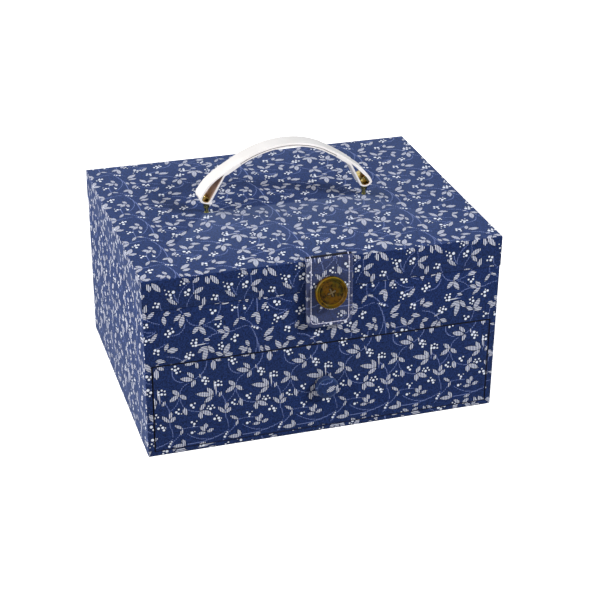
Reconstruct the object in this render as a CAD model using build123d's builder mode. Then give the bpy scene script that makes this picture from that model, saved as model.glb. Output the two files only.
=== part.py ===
from build123d import *

import os
from math import cos, radians, sin

# A cloth-covered sewing box: hinged lid with a strap handle, buttoned tab, one drawer, lift-out tray.
# Millimetres, +Z up. The origin is the centre of the underside, and the front faces -Y.

os.makedirs("parts", exist_ok=True)

# Overall sizes, over the cloth
width = 300.0                 # of the lid
depth = 233.0
height = 158.5                # to the top of the lid, without the handle
lid_depth = 26.5              # from the lid's top to the middle of the gap under it
bay_height = 83.0             # middle of the gap over the drawer
lid_proud = 0.5               # the lid stands out over the sides and the front

# Stock
wall_board = 4.5
base_board = 3.7
shelf_board = 4.5
drawer_board = 3.0
tray_board = 2.0
lining_board = 2.0
lining_card = 1.0
cloth = 0.5
base_paper = 0.5
hinge_cloth = 0.4
cloth_corner = 0.8            # radius of the covered edges

# Clearances
seam_gap = 0.4
drawer_side_gap = 0.7
drawer_top_gap = 0.7
drawer_floor_gap = 0.3
drawer_back_gap = 0.6
tray_gap = 0.7
tray_seat_gap = 0.3
tray_top_gap = 1.5            # below the carcass rim
panel_gap = 0.5
hole_gap = 0.1                # radial, round posts and screws that don't turn
pin_gap = 0.04                # radial, round the pivot pins
pocket_gap = 0.3

# Hinge
hinge_strip_height = 18.0
hinge_strip_inset = 4.0
lining_strip_height = 11.0

# Upper compartment and tray
ledge_drop = 26.0             # from the carcass rim down to the ledges
long_divider_place = 0.42     # share of the tray's inner depth in front of the long divider
front_cells = 3
back_cells = 2
tray_divider_drop = 2.0
pull_width = 12.0
pull_thickness = 0.8
pull_stand = 7.0              # above the tray's walls
pull_glued = 9.0

# Lid lining
lining_panel = 4.6

# Handle strap
handle_y = -3.0
strap_width = 16.0
strap_leather = 1.8
arch_radius = 86.0            # outer face of the strap
end_angle = 57.5              # of the loop centres, from the top of the arch
merge_angle = 41.0            # where each fold lies back against the arch
fold_end_angle = 30.0         # where each fold ends
fold_gap_angle = 0.15
loop_gap = 7.0                # room inside each loop
slot_half_width = 2.7         # of the slot in each fold, for the sleeve's lug

# Brass sleeves, pins and posts
sleeve_thickness = 5.0
sleeve_height = 8.5
sleeve_length = 15.0
sleeve_wall = 0.9
sleeve_corner = 2.0
sleeve_below = 3.0            # from the loop centre to the sleeve's lower end
lug_thickness = 1.4
lug_half_width = 2.0
lug_side_gap = 0.3
pivot_out = 1.6               # from the loop centre, away from the middle
pivot_below = 7.0             # from the loop centre down to the pivot
strap_lid_gap = 0.6           # under the strap's edge when it lies flat
pin_radius = 0.8
fork_radius = 2.2
fork_length = 4.6
neck_half_depth = 1.5
neck_height = 2.0
stem_radius = 1.6
foot_radius = 2.1
foot_height = 0.6
washer_radius = 5.0
washer_thickness = 0.6
nut_radius = 3.3
nut_thickness = 2.4
post_end = 0.5                # thread that stands out of the nut

# Closure tab
tab_width = 38.5
tab_length = 54.0
tab_drop = 1.3                # below the lid's top face
tab_gap = 0.6
tab_tilt = 2.0                # degrees, out at the bottom
tab_corner = 7.0
tab_lining = 0.8
tab_core = 1.8
tab_cloth = 1.0
tab_turned_edge = 1.0
magnet_radius = 6.0
magnet_thickness = 1.5
magnet_above_end = 11.0
keeper_radius = 7.0
keeper_thickness = 1.0
tab_root_length = 8.0         # sewn down on the lid's top, behind its front edge
tab_root_thickness = 1.6
tab_root_edge = 0.9

# Four-hole button
button_radius = 13.3
button_thickness = 3.4
button_below_top = 23.4       # from the tab's top end to the button's centre
button_lift = 2.6             # thread shank, from the tab's face to the middle of the button's back
button_lean = 9.0             # degrees, the button leans back on its shank
button_turn = 5.0             # degrees, and turns to +X
button_edge = 0.9
button_rim = 1.6
button_dish = 1.0
groove_radius = 9.6
groove_width = 0.8
groove_depth = 0.4
hole_radius = 1.1
hole_ring = 2.9
hole_turn = 26.0              # degrees, of the first hole
thread_radius = 0.55

# Drawer
drawer_side_drop = 8.0        # from the drawer front's top edge to the sides' top edge
drawer_lining = 0.8
knob_radius = 9.5
knob_height = 7.6
knob_bevel_height = 2.2       # of the bevel round the knob's face
knob_bevel_width = 3.0
knob_stand = 1.4
knob_cloth = 0.6
knob_neck_radius = 3.2
knob_screw_radius = 1.5
knob_head_radius = 3.6
knob_head_thickness = 1.8
knob_head_bevel = 0.7
knob_washer_radius = 5.0
knob_washer_thickness = 0.6
knob_screw_bite = 3.0

# Planes and faces that the pieces share
seam_height = height - lid_depth
back_y = depth / 2
lid_front_y = -depth / 2
lid_x = width / 2
body_front_y = lid_front_y + lid_proud
body_x = lid_x - lid_proud
rim_z = seam_height - seam_gap / 2
lid_z = seam_height + seam_gap / 2
bay_floor_z = base_paper + base_board
bay_top_z = bay_height + drawer_top_gap / 2

board_x = body_x - cloth
inner_x = board_x - wall_board
board_front_y = body_front_y + cloth
inner_front_y = board_front_y + wall_board
board_back_y = back_y - cloth
inner_back_y = board_back_y - wall_board
shelf_top_z = bay_top_z + shelf_board
lining_z = shelf_top_z + lining_card
ledge_z = rim_z - ledge_drop


def finish(label, part):
    # Names a finished piece and writes it to its own file.
    part.label = label
    export_step(part, f"parts/{label}.step")
    return part


def panel(label, low, high):
    # A flat piece of board, card or cloth between two opposite corners.
    with BuildPart() as piece:
        with BuildSketch(Plane.XY.offset(low[2])):
            with Locations(((low[0] + high[0]) / 2, (low[1] + high[1]) / 2)):
                Rectangle(high[0] - low[0], high[1] - low[1])
        extrude(amount=high[2] - low[2])
    return finish(label, piece.part)


# Carcass boards
panel("base_paper", (-board_x, board_front_y, 0), (board_x, board_back_y, base_paper))
panel("base_board", (-inner_x, board_front_y, base_paper), (inner_x, inner_back_y, bay_floor_z))
panel("left_side_board", (-board_x, board_front_y, base_paper), (-inner_x, board_back_y, rim_z))
panel("right_side_board", (inner_x, board_front_y, base_paper), (board_x, board_back_y, rim_z))
panel("back_board", (-inner_x, inner_back_y, base_paper), (inner_x, board_back_y, rim_z))
panel("shelf_board", (-inner_x, inner_front_y, bay_top_z), (inner_x, inner_back_y, shelf_top_z))

# The closure tab hangs from a line just below the lid's top front edge, and tilts out a little.
# The plane's normal points out of the front, and its Y axis runs up the tab.
tilt = radians(tab_tilt)
tab_top_z = height - tab_drop
tab_hinge_y = lid_front_y - tab_gap
tab_plane = Plane(
    origin=(0, tab_hinge_y, tab_top_z), x_dir=(1, 0, 0), z_dir=(0, -cos(tilt), sin(tilt))
)
magnet_down = tab_length - magnet_above_end
magnet_z = tab_top_z - magnet_down * cos(tilt)

# Front board of the upper compartment, with the keeper disc let into its face
with BuildPart() as front_board:
    with BuildSketch(Plane.XY.offset(bay_top_z)):
        with Locations((0, (board_front_y + inner_front_y) / 2)):
            Rectangle(2 * inner_x, wall_board)
    extrude(amount=rim_z - bay_top_z)
    with BuildSketch(Plane.XZ.offset(-board_front_y)):
        with Locations((0, magnet_z)):
            Circle(keeper_radius + hole_gap)
    extrude(amount=-keeper_thickness, mode=Mode.SUBTRACT)
finish("front_board", front_board.part)

with BuildPart() as keeper_disc:
    with BuildSketch(Plane.XZ.offset(-board_front_y)):
        with Locations((0, magnet_z)):
            Circle(keeper_radius)
    extrude(amount=-keeper_thickness)
finish("keeper_disc", keeper_disc.part)

# Cover cloth round the carcass, open over the drawer
with BuildPart() as cover_cloth:
    with BuildSketch(Plane.XY.offset(base_paper)):
        with Locations((0, (body_front_y + back_y) / 2)):
            Rectangle(2 * body_x, back_y - body_front_y)
    extrude(amount=rim_z - base_paper)
    fillet(cover_cloth.edges().filter_by(Axis.Z), cloth_corner)
    with BuildSketch(Plane.XY.offset(base_paper)):
        with Locations((0, (board_front_y + board_back_y) / 2)):
            Rectangle(2 * board_x, board_back_y - board_front_y)
    extrude(amount=rim_z - base_paper, mode=Mode.SUBTRACT)
    with BuildSketch(Plane.XZ.offset(-board_front_y)):
        with Locations((0, (bay_floor_z + bay_top_z) / 2)):
            Rectangle(2 * inner_x, bay_top_z - bay_floor_z)
    extrude(amount=cloth, mode=Mode.SUBTRACT)
finish("body_cover_cloth", cover_cloth.part)

# Lining of the upper compartment: its walls stop at the ledges that carry the tray
panel("lining_floor", (-inner_x, inner_front_y, shelf_top_z), (inner_x, inner_back_y, lining_z))
side_lining_x = inner_x - lining_board
front_lining_y = inner_front_y + lining_board
back_lining_y = inner_back_y - lining_board
panel("left_lining", (-inner_x, inner_front_y, lining_z), (-side_lining_x, inner_back_y, ledge_z))
panel("right_lining", (side_lining_x, inner_front_y, lining_z), (inner_x, inner_back_y, ledge_z))
panel("front_lining", (-side_lining_x, inner_front_y, lining_z), (side_lining_x, front_lining_y, ledge_z))
panel("back_lining", (-side_lining_x, back_lining_y, lining_z), (side_lining_x, inner_back_y, ledge_z))

# Lid boards
lid_board_x = lid_x - cloth
lid_board_front_y = lid_front_y + cloth
lid_inner_x = lid_board_x - wall_board
lid_inner_front_y = lid_board_front_y + wall_board
top_board_z = height - cloth - wall_board
panel(
    "lid_front_rim",
    (-lid_board_x, lid_board_front_y, lid_z),
    (lid_board_x, lid_inner_front_y, top_board_z),
)
panel("lid_back_rim", (-lid_board_x, inner_back_y, lid_z), (lid_board_x, board_back_y, top_board_z))
panel(
    "lid_left_rim",
    (-lid_board_x, lid_inner_front_y, lid_z),
    (-lid_inner_x, inner_back_y, top_board_z),
)
panel("lid_right_rim", (lid_inner_x, lid_inner_front_y, lid_z), (lid_board_x, inner_back_y, top_board_z))

# Strap geometry in the plane of the arch. The pivots sit just high enough for the strap, swung
# down to either side, to lie on its edge over the lid.
arch_inner = arch_radius - strap_leather
loop_ring = arch_inner - loop_gap / 2
pivot_z = height + strap_width / 2 + strap_lid_gap
arch_z = pivot_z + pivot_below - loop_ring * cos(radians(end_angle))
loop_x = loop_ring * sin(radians(end_angle))
loop_z = arch_z + loop_ring * cos(radians(end_angle))
pivot_x = loop_x + pivot_out
handle_plane = Plane.XZ.offset(-handle_y)
post_places = [(-pivot_x, handle_y), (pivot_x, handle_y)]


def polar(radius, angle):
    # A point of the arch plane, its angle in degrees from the top of the arch towards +X.
    return (radius * sin(radians(angle)), arch_z + radius * cos(radians(angle)))


# Top board and lid cloth, drilled for the posts
with BuildPart() as lid_top_board:
    with BuildSketch(Plane.XY.offset(top_board_z)):
        with Locations((0, (lid_board_front_y + board_back_y) / 2)):
            Rectangle(2 * lid_board_x, board_back_y - lid_board_front_y)
        with Locations(post_places):
            Circle(stem_radius + hole_gap, mode=Mode.SUBTRACT)
    extrude(amount=wall_board)
finish("lid_top_board", lid_top_board.part)

with BuildPart() as lid_cover:
    with BuildSketch(Plane.XY.offset(lid_z)):
        Rectangle(2 * lid_x, depth)
    extrude(amount=height - lid_z)
    fillet(lid_cover.edges().filter_by(Axis.Z), cloth_corner)
    fillet(lid_cover.faces().sort_by(Axis.Z)[-1].edges(), cloth_corner)
    with BuildSketch(Plane.XY.offset(lid_z)):
        Rectangle(2 * lid_board_x, board_back_y - lid_board_front_y)
    extrude(amount=height - cloth - lid_z, mode=Mode.SUBTRACT)
    with BuildSketch(Plane.XY.offset(height)):
        with Locations(post_places):
            Circle(stem_radius + hole_gap)
    extrude(amount=-cloth, mode=Mode.SUBTRACT)
finish("lid_cover_cloth", lid_cover.part)

# Padded lining panel, crowned towards the tray, with pockets over the nuts
panel_x = lid_inner_x - panel_gap
panel_front_y = lid_inner_front_y + panel_gap
panel_back_y = inner_back_y - hinge_cloth - panel_gap
panel_z = top_board_z - lining_panel
pocket_depth = washer_thickness + nut_thickness + post_end + pocket_gap
panel_edge = lining_panel / 2
with BuildPart() as lining_panel_part:
    with BuildSketch(Plane.XY.offset(top_board_z)):
        with Locations((0, (panel_front_y + panel_back_y) / 2)):
            Rectangle(2 * panel_x, panel_back_y - panel_front_y)
    extrude(amount=-lining_panel)
    fillet(lining_panel_part.faces().sort_by(Axis.Z)[0].edges(), panel_edge)
    with BuildSketch(Plane.XY.offset(top_board_z)):
        with Locations(post_places):
            Circle(washer_radius + pocket_gap)
    extrude(amount=-pocket_depth, mode=Mode.SUBTRACT)
finish("lid_lining_panel", lining_panel_part.part)

# Hinge cloth outside and lining strip inside, each in two halves that meet at the seam
strip_x = body_x - hinge_strip_inset
hinge_y = back_y + hinge_cloth
panel("hinge_cloth_lower", (-strip_x, back_y, rim_z - hinge_strip_height), (strip_x, hinge_y, rim_z))
panel("hinge_cloth_upper", (-strip_x, back_y, lid_z), (strip_x, hinge_y, lid_z + hinge_strip_height))
lining_strip_x = inner_x - hinge_strip_inset
lining_strip_y = inner_back_y - hinge_cloth
panel(
    "hinge_lining_lower",
    (-lining_strip_x, lining_strip_y, rim_z - lining_strip_height),
    (lining_strip_x, inner_back_y, rim_z),
)
panel(
    "hinge_lining_upper",
    (-lining_strip_x, lining_strip_y, lid_z),
    (lining_strip_x, inner_back_y, lid_z + lining_strip_height),
)

# Outer strap: the arch, a loop at each end, and the folds that lie back along its inner face
with BuildPart() as strap:
    with BuildSketch(handle_plane):
        with BuildLine():
            outer = ThreePointArc(polar(arch_radius, -end_angle), polar(arch_radius, 0),
                                  polar(arch_radius, end_angle))
            inner = ThreePointArc(polar(arch_inner, -end_angle), polar(arch_inner, 0),
                                  polar(arch_inner, end_angle))
            Line(outer @ 0, inner @ 0)
            Line(outer @ 1, inner @ 1)
        make_face()
        for side in (-1, 1):
            angle = side * end_angle
            near = loop_ring + loop_gap / 2
            far = loop_ring - loop_gap / 2
            tip = radians(end_angle)
            outward = (side * cos(tip), -sin(tip))
            centre = polar(loop_ring, angle)

            def bulge(radius):
                return (centre[0] + outward[0] * radius, centre[1] + outward[1] * radius)

            with BuildLine():
                wide = ThreePointArc(polar(near + strap_leather, angle),
                                     bulge(loop_gap / 2 + strap_leather),
                                     polar(far - strap_leather, angle))
                tight = ThreePointArc(polar(near, angle), bulge(loop_gap / 2), polar(far, angle))
                Line(wide @ 0, tight @ 0)
                Line(wide @ 1, tight @ 1)
            make_face()
            merge = side * merge_angle
            with BuildLine():
                Polyline(polar(far, angle), polar(arch_inner, merge),
                         polar(arch_inner - strap_leather, merge), polar(far - strap_leather, angle),
                         close=True)
            make_face()
            middle = side * (merge_angle + fold_end_angle) / 2
            ended = side * fold_end_angle
            with BuildLine():
                lying = ThreePointArc(polar(arch_inner, merge), polar(arch_inner, middle),
                                      polar(arch_inner, ended))
                under = ThreePointArc(polar(arch_inner - strap_leather, merge),
                                      polar(arch_inner - strap_leather, middle),
                                      polar(arch_inner - strap_leather, ended))
                Line(lying @ 0, under @ 0)
                Line(lying @ 1, under @ 1)
            make_face()
    extrude(amount=strap_width / 2, both=True)
    with BuildSketch(Plane.XY.offset(pivot_z)):
        with Locations(post_places):
            Rectangle(fork_length + 2 * slot_half_width, 2 * slot_half_width)
    extrude(amount=pivot_below, mode=Mode.SUBTRACT)
finish("handle_strap", strap.part)

# Backing strip between the two folds
backing_angle = fold_end_angle - fold_gap_angle
with BuildPart() as backing:
    with BuildSketch(handle_plane):
        with BuildLine():
            upper = ThreePointArc(polar(arch_inner, -backing_angle), polar(arch_inner, 0),
                                  polar(arch_inner, backing_angle))
            lower = ThreePointArc(polar(arch_inner - strap_leather, -backing_angle),
                                  polar(arch_inner - strap_leather, 0),
                                  polar(arch_inner - strap_leather, backing_angle))
            Line(upper @ 0, lower @ 0)
            Line(upper @ 1, lower @ 1)
        make_face()
    extrude(amount=strap_width / 2, both=True)
finish("handle_backing", backing.part)

# Brass sleeves in the loops, each with a lug that hangs through the slot in its fold
sleeve_middle = sleeve_height / 2 - sleeve_below
lug_top_z = loop_z - sleeve_below / 2
tip = radians(end_angle)
for label, side in (("left", -1), ("right", 1)):
    sleeve_plane = Plane(
        origin=(side * loop_x, handle_y, loop_z),
        x_dir=(side * sin(tip), 0, cos(tip)),
        z_dir=(0, -side, 0),
    )
    with BuildPart() as sleeve:
        with BuildSketch(sleeve_plane):
            with Locations((0, sleeve_middle)):
                outline = Rectangle(sleeve_thickness, sleeve_height)
            fillet(outline.vertices().group_by(Axis.Y)[0], sleeve_corner)
            with Locations((0, sleeve_middle)):
                Rectangle(sleeve_thickness - 2 * sleeve_wall, sleeve_height - 2 * sleeve_wall,
                          mode=Mode.SUBTRACT)
        extrude(amount=sleeve_length / 2, both=True)
        with BuildSketch(Plane.YZ.offset(side * pivot_x - lug_thickness / 2)):
            with Locations((handle_y, pivot_z)):
                Circle(lug_half_width)
            with Locations((handle_y, (pivot_z + lug_top_z) / 2)):
                Rectangle(2 * lug_half_width, lug_top_z - pivot_z)
            with Locations((handle_y, pivot_z)):
                Circle(pin_radius + pin_gap, mode=Mode.SUBTRACT)
        extrude(amount=lug_thickness)
    finish(f"{label}_strap_sleeve", sleeve.part)

with BuildPart() as pins:
    for side in (-1, 1):
        with BuildSketch(Plane.YZ.offset(side * pivot_x - fork_length / 2)):
            with Locations((handle_y, pivot_z)):
                Circle(pin_radius)
        extrude(amount=fork_length)
finish("pivot_pins", pins.part)

# Brass posts: a forked head round each lug, a slim neck, and a stem that runs down through the lid
post_end_z = top_board_z - washer_thickness - nut_thickness - post_end
fork_slot = lug_thickness + 2 * lug_side_gap
fork_slot_z = pivot_z - lug_half_width - lug_side_gap
neck_z = fork_slot_z - neck_height
for label, side in (("left", -1), ("right", 1)):
    with BuildPart() as post:
        with BuildSketch(Plane.XY.offset(post_end_z)):
            with Locations((side * pivot_x, handle_y)):
                Circle(stem_radius)
        extrude(amount=fork_slot_z - post_end_z)
        with BuildSketch(Plane.XY.offset(height)):
            with Locations((side * pivot_x, handle_y)):
                Circle(foot_radius)
        extrude(amount=foot_height)
        chamfer(post.faces().filter_by(Axis.Z).group_by(Axis.Z)[-2].edges().sort_by(SortBy.RADIUS)[-1],
                (foot_radius - stem_radius) / 2)
        with BuildSketch(Plane.XY.offset(neck_z)):
            with Locations((side * pivot_x, handle_y)):
                Rectangle(fork_length, 2 * neck_half_depth)
        extrude(amount=pivot_z - neck_z)
        with BuildSketch(Plane.YZ.offset(side * pivot_x - fork_length / 2)):
            with Locations((handle_y, pivot_z)):
                Circle(fork_radius)
        extrude(amount=fork_length)
        with BuildSketch(Plane.XY.offset(fork_slot_z)):
            with Locations((side * pivot_x, handle_y)):
                Rectangle(fork_slot, 2 * fork_radius + fork_slot)
        extrude(amount=2 * fork_radius + lug_half_width, mode=Mode.SUBTRACT)
        with BuildSketch(Plane.YZ.offset(side * pivot_x - fork_length / 2)):
            with Locations((handle_y, pivot_z)):
                Circle(pin_radius + pin_gap)
        extrude(amount=fork_length, mode=Mode.SUBTRACT)
    finish(f"{label}_handle_post", post.part)

with BuildPart() as washers:
    with BuildSketch(Plane.XY.offset(top_board_z)):
        with Locations(post_places):
            Circle(washer_radius)
            Circle(stem_radius + hole_gap, mode=Mode.SUBTRACT)
    extrude(amount=-washer_thickness)
finish("post_washers", washers.part)

with BuildPart() as nuts:
    with BuildSketch(Plane.XY.offset(top_board_z - washer_thickness)):
        with Locations(post_places):
            RegularPolygon(nut_radius, 6)
            Circle(stem_radius + hole_gap, mode=Mode.SUBTRACT)
    extrude(amount=-nut_thickness)
finish("post_nuts", nuts.part)


def tab_outline(inset):
    # The tab's outline on its own plane, drawn in from the edge by the inset.
    with Locations((0, -tab_length / 2)):
        outline = Rectangle(tab_width - 2 * inset, tab_length - 2 * inset)
    fillet(outline.vertices().group_by(Axis.Y)[0], tab_corner - inset)


# The tab's root lies on the lid's top, and stands for the end of the strip that bends over the edge
with BuildPart() as tab_root:
    with BuildSketch(Plane.XY.offset(height)):
        with Locations((0, lid_front_y + tab_root_length / 2)):
            Rectangle(tab_width, tab_root_length)
    extrude(amount=tab_root_thickness)
    chamfer(tab_root.faces().sort_by(Axis.Z)[-1].edges().sort_by(Axis.Y)[0], tab_root_edge)
finish("tab_root", tab_root.part)

# Closure tab: back lining, card core with a magnet in its back, printed cloth over front and edges
with BuildPart() as tab_back:
    with BuildSketch(tab_plane):
        tab_outline(0)
    extrude(amount=tab_lining)
finish("tab_back_lining", tab_back.part)

with BuildPart() as core:
    with BuildSketch(tab_plane.offset(tab_lining)):
        tab_outline(tab_turned_edge)
    extrude(amount=tab_core)
    with BuildSketch(tab_plane.offset(tab_lining)):
        with Locations((0, -magnet_down)):
            Circle(magnet_radius + hole_gap)
    extrude(amount=magnet_thickness, mode=Mode.SUBTRACT)
finish("tab_core", core.part)

with BuildPart() as magnet:
    with BuildSketch(tab_plane.offset(tab_lining)):
        with Locations((0, -magnet_down)):
            Circle(magnet_radius)
    extrude(amount=magnet_thickness)
finish("tab_magnet", magnet.part)

tab_thickness = tab_lining + tab_core + tab_cloth
with BuildPart() as tab_front:
    with BuildSketch(tab_plane.offset(tab_lining)):
        tab_outline(0)
    extrude(amount=tab_core + tab_cloth)
    with BuildSketch(tab_plane.offset(tab_lining)):
        tab_outline(tab_turned_edge)
    extrude(amount=tab_core, mode=Mode.SUBTRACT)
finish("tab_front_cover", tab_front.part)

# Button: bevelled edge, raised rim, dished face with a turned groove, and four holes. Its plane stands
# off the tab by the thread shank, leans back and turns a little.
tab_face = tab_plane.offset(tab_thickness)
upright = tab_plane.offset(tab_thickness + button_lift)
button_plane = Plane(
    origin=upright.from_local_coords((0, -button_below_top, 0)), x_dir=upright.x_dir, z_dir=upright.z_dir
).rotated((-button_lean, button_turn, 0))
button_axis = Axis(button_plane.origin, button_plane.z_dir)
with BuildPart() as button:
    with BuildSketch(button_plane):
        Circle(button_radius)
    extrude(amount=button_thickness)
    chamfer(button.faces().filter_by(GeomType.PLANE).sort_by(button_axis)[-1].edges(), button_edge)
    with BuildSketch(button_plane.offset(button_thickness)):
        Circle(button_radius - button_edge - button_rim)
    extrude(amount=-button_dish, taper=30, mode=Mode.SUBTRACT)
    with BuildSketch(button_plane.offset(button_thickness - button_dish)):
        Circle(groove_radius + groove_width / 2)
        Circle(groove_radius - groove_width / 2, mode=Mode.SUBTRACT)
    extrude(amount=-groove_depth, mode=Mode.SUBTRACT)
    with BuildSketch(button_plane):
        with PolarLocations(hole_ring, 4, start_angle=hole_turn):
            Circle(hole_radius)
    extrude(amount=button_thickness, mode=Mode.SUBTRACT)
finish("button", button.part)

# Sewing thread: two stitches cross on the button's face, and go through its holes down to the tab
with BuildPart() as thread:
    with BuildSketch(button_plane.offset(-2 * button_lift)):
        with PolarLocations(hole_ring, 4, start_angle=hole_turn):
            Circle(thread_radius)
    extrude(amount=2 * button_lift + button_thickness - button_dish)
    with BuildSketch(button_plane.offset(button_thickness - button_dish)):
        for quarter in (0, 90):
            SlotCenterToCenter(2 * hole_ring, 2 * thread_radius, rotation=hole_turn + quarter)
    extrude(amount=thread_radius)
    with BuildSketch(tab_face):
        with Locations((0, -button_below_top)):
            Circle(button_radius)
    extrude(amount=-2 * button_lift, mode=Mode.SUBTRACT)
finish("button_thread", thread.part)

# Drawer: the front closes the bay flush with the carcass
drawer_x = inner_x - drawer_side_gap
drawer_z = bay_floor_z + drawer_floor_gap
drawer_front_top_z = bay_top_z - drawer_top_gap
drawer_board_y = body_front_y + cloth
drawer_inner_y = drawer_board_y + wall_board
drawer_back_y = inner_back_y - drawer_back_gap
drawer_side_z = drawer_front_top_z - drawer_side_drop
drawer_bottom_z = drawer_z + drawer_board
drawer_inner_x = drawer_x - drawer_board
knob_z = (drawer_z + drawer_front_top_z) / 2

with BuildPart() as drawer_front:
    with BuildSketch(Plane.XZ.offset(-drawer_board_y)):
        with Locations((0, knob_z)):
            Rectangle(2 * (drawer_x - cloth), drawer_front_top_z - drawer_z - 2 * cloth)
            Circle(knob_screw_radius + hole_gap, mode=Mode.SUBTRACT)
    extrude(amount=-wall_board)
finish("drawer_front_board", drawer_front.part)

with BuildPart() as drawer_cover:
    with BuildSketch(Plane.XZ.offset(-body_front_y)):
        with Locations((0, knob_z)):
            Rectangle(2 * drawer_x, drawer_front_top_z - drawer_z)
    extrude(amount=-(cloth + wall_board))
    fillet(drawer_cover.faces().sort_by(Axis.Y)[0].edges(), cloth_corner)
    with BuildSketch(Plane.XZ.offset(-drawer_board_y)):
        with Locations((0, knob_z)):
            Rectangle(2 * (drawer_x - cloth), drawer_front_top_z - drawer_z - 2 * cloth)
    extrude(amount=-wall_board, mode=Mode.SUBTRACT)
    with BuildSketch(Plane.XZ.offset(-body_front_y)):
        with Locations((0, knob_z)):
            Circle(knob_screw_radius + hole_gap)
    extrude(amount=-cloth, mode=Mode.SUBTRACT)
finish("drawer_front_cover", drawer_cover.part)

panel("drawer_bottom", (-drawer_inner_x, drawer_inner_y, drawer_z),
      (drawer_inner_x, drawer_back_y, drawer_bottom_z))
panel("drawer_left_side", (-drawer_x, drawer_inner_y, drawer_z),
      (-drawer_inner_x, drawer_back_y, drawer_side_z))
panel("drawer_right_side", (drawer_inner_x, drawer_inner_y, drawer_z),
      (drawer_x, drawer_back_y, drawer_side_z))
panel("drawer_back", (-drawer_inner_x, drawer_back_y - drawer_board, drawer_bottom_z),
      (drawer_inner_x, drawer_back_y, drawer_side_z))
panel("drawer_floor_lining", (-drawer_inner_x, drawer_inner_y, drawer_bottom_z),
      (drawer_inner_x, drawer_back_y - drawer_board, drawer_bottom_z + drawer_lining))

# Drawer knob: a flat core with a bevelled face under a cloth cover, on a short neck, held by a screw
# from inside the drawer
knob_plane = Plane.XZ.offset(-body_front_y)
with BuildPart() as knob_core:
    with BuildSketch(knob_plane.offset(knob_stand)):
        with Locations((0, knob_z)):
            Circle(knob_radius - knob_cloth)
    extrude(amount=knob_height - knob_cloth)
    core_face = knob_core.faces().sort_by(Axis.Y)[0]
    chamfer(core_face.edges(), knob_bevel_width, knob_bevel_height, reference=core_face)
    with BuildSketch(knob_plane):
        with Locations((0, knob_z)):
            Circle(knob_neck_radius)
    extrude(amount=knob_stand)
    with BuildSketch(knob_plane):
        with Locations((0, knob_z)):
            Circle(knob_screw_radius + hole_gap)
    extrude(amount=knob_stand + knob_screw_bite, mode=Mode.SUBTRACT)
finish("knob_core", knob_core.part)

with BuildPart() as knob_cover:
    with BuildSketch(knob_plane.offset(knob_stand)):
        with Locations((0, knob_z)):
            Circle(knob_radius)
    extrude(amount=knob_height)
    cover_face = knob_cover.faces().sort_by(Axis.Y)[0]
    chamfer(cover_face.edges(), knob_bevel_width, knob_bevel_height, reference=cover_face)
    add(knob_core.part, mode=Mode.SUBTRACT)
    with BuildSketch(knob_plane.offset(knob_stand)):
        with Locations((0, knob_z)):
            Circle(knob_screw_radius + 2 * hole_gap)
    extrude(amount=knob_screw_bite, mode=Mode.SUBTRACT)
finish("knob_cover", knob_cover.part)

washer_y = drawer_inner_y + knob_washer_thickness
with BuildPart() as knob_screw:
    with BuildSketch(Plane.XZ.offset(-washer_y)):
        with Locations((0, knob_z)):
            Circle(knob_head_radius)
    extrude(amount=-knob_head_thickness)
    chamfer(knob_screw.faces().sort_by(Axis.Y)[-1].edges(), knob_head_bevel)
    with BuildSketch(Plane.XZ.offset(-washer_y)):
        with Locations((0, knob_z)):
            Circle(knob_screw_radius)
    extrude(amount=washer_y - body_front_y + knob_stand + knob_screw_bite - hole_gap)
finish("knob_screw", knob_screw.part)

with BuildPart() as knob_washer:
    with BuildSketch(Plane.XZ.offset(-drawer_inner_y)):
        with Locations((0, knob_z)):
            Circle(knob_washer_radius)
            Circle(knob_screw_radius + hole_gap, mode=Mode.SUBTRACT)
    extrude(amount=-knob_washer_thickness)
finish("knob_washer", knob_washer.part)

# Lift-out tray of covered card: it drops between the compartment walls onto the ledges
tray_x = inner_x - tray_gap
tray_front_y = inner_front_y + tray_gap
tray_back_y = lining_strip_y - tray_gap
tray_z = ledge_z + tray_seat_gap
tray_floor_z = tray_z + tray_board
tray_top_z = rim_z - tray_top_gap
tray_inner_x = tray_x - tray_board
tray_inner_front_y = tray_front_y + tray_board
tray_inner_back_y = tray_back_y - tray_board
panel("tray_floor", (-tray_x, tray_front_y, tray_z), (tray_x, tray_back_y, tray_floor_z))
panel("tray_left_wall", (-tray_x, tray_front_y, tray_floor_z), (-tray_inner_x, tray_back_y, tray_top_z))
panel("tray_right_wall", (tray_inner_x, tray_front_y, tray_floor_z), (tray_x, tray_back_y, tray_top_z))
panel("tray_front_wall", (-tray_inner_x, tray_front_y, tray_floor_z),
      (tray_inner_x, tray_inner_front_y, tray_top_z))
panel("tray_back_wall", (-tray_inner_x, tray_inner_back_y, tray_floor_z),
      (tray_inner_x, tray_back_y, tray_top_z))

divider_top_z = tray_top_z - tray_divider_drop
long_divider_y = tray_inner_front_y + long_divider_place * (tray_inner_back_y - tray_inner_front_y)
long_divider_back_y = long_divider_y + tray_board
panel("tray_long_divider", (-tray_inner_x, long_divider_y, tray_floor_z),
      (tray_inner_x, long_divider_back_y, divider_top_z))


def divider_places(cells):
    # Middle of each cross divider in a row of equal cells.
    return [-tray_inner_x + 2 * tray_inner_x * n / cells for n in range(1, cells)]


with BuildPart() as dividers:
    for cells, near_y, far_y in (
        (front_cells, tray_inner_front_y, long_divider_y),
        (back_cells, long_divider_back_y, tray_inner_back_y),
    ):
        with BuildSketch(Plane.XY.offset(tray_floor_z)):
            with Locations([(x, (near_y + far_y) / 2) for x in divider_places(cells)]):
                Rectangle(tray_board, far_y - near_y)
        extrude(amount=divider_top_z - tray_floor_z)
finish("tray_cross_dividers", dividers.part)

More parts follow.
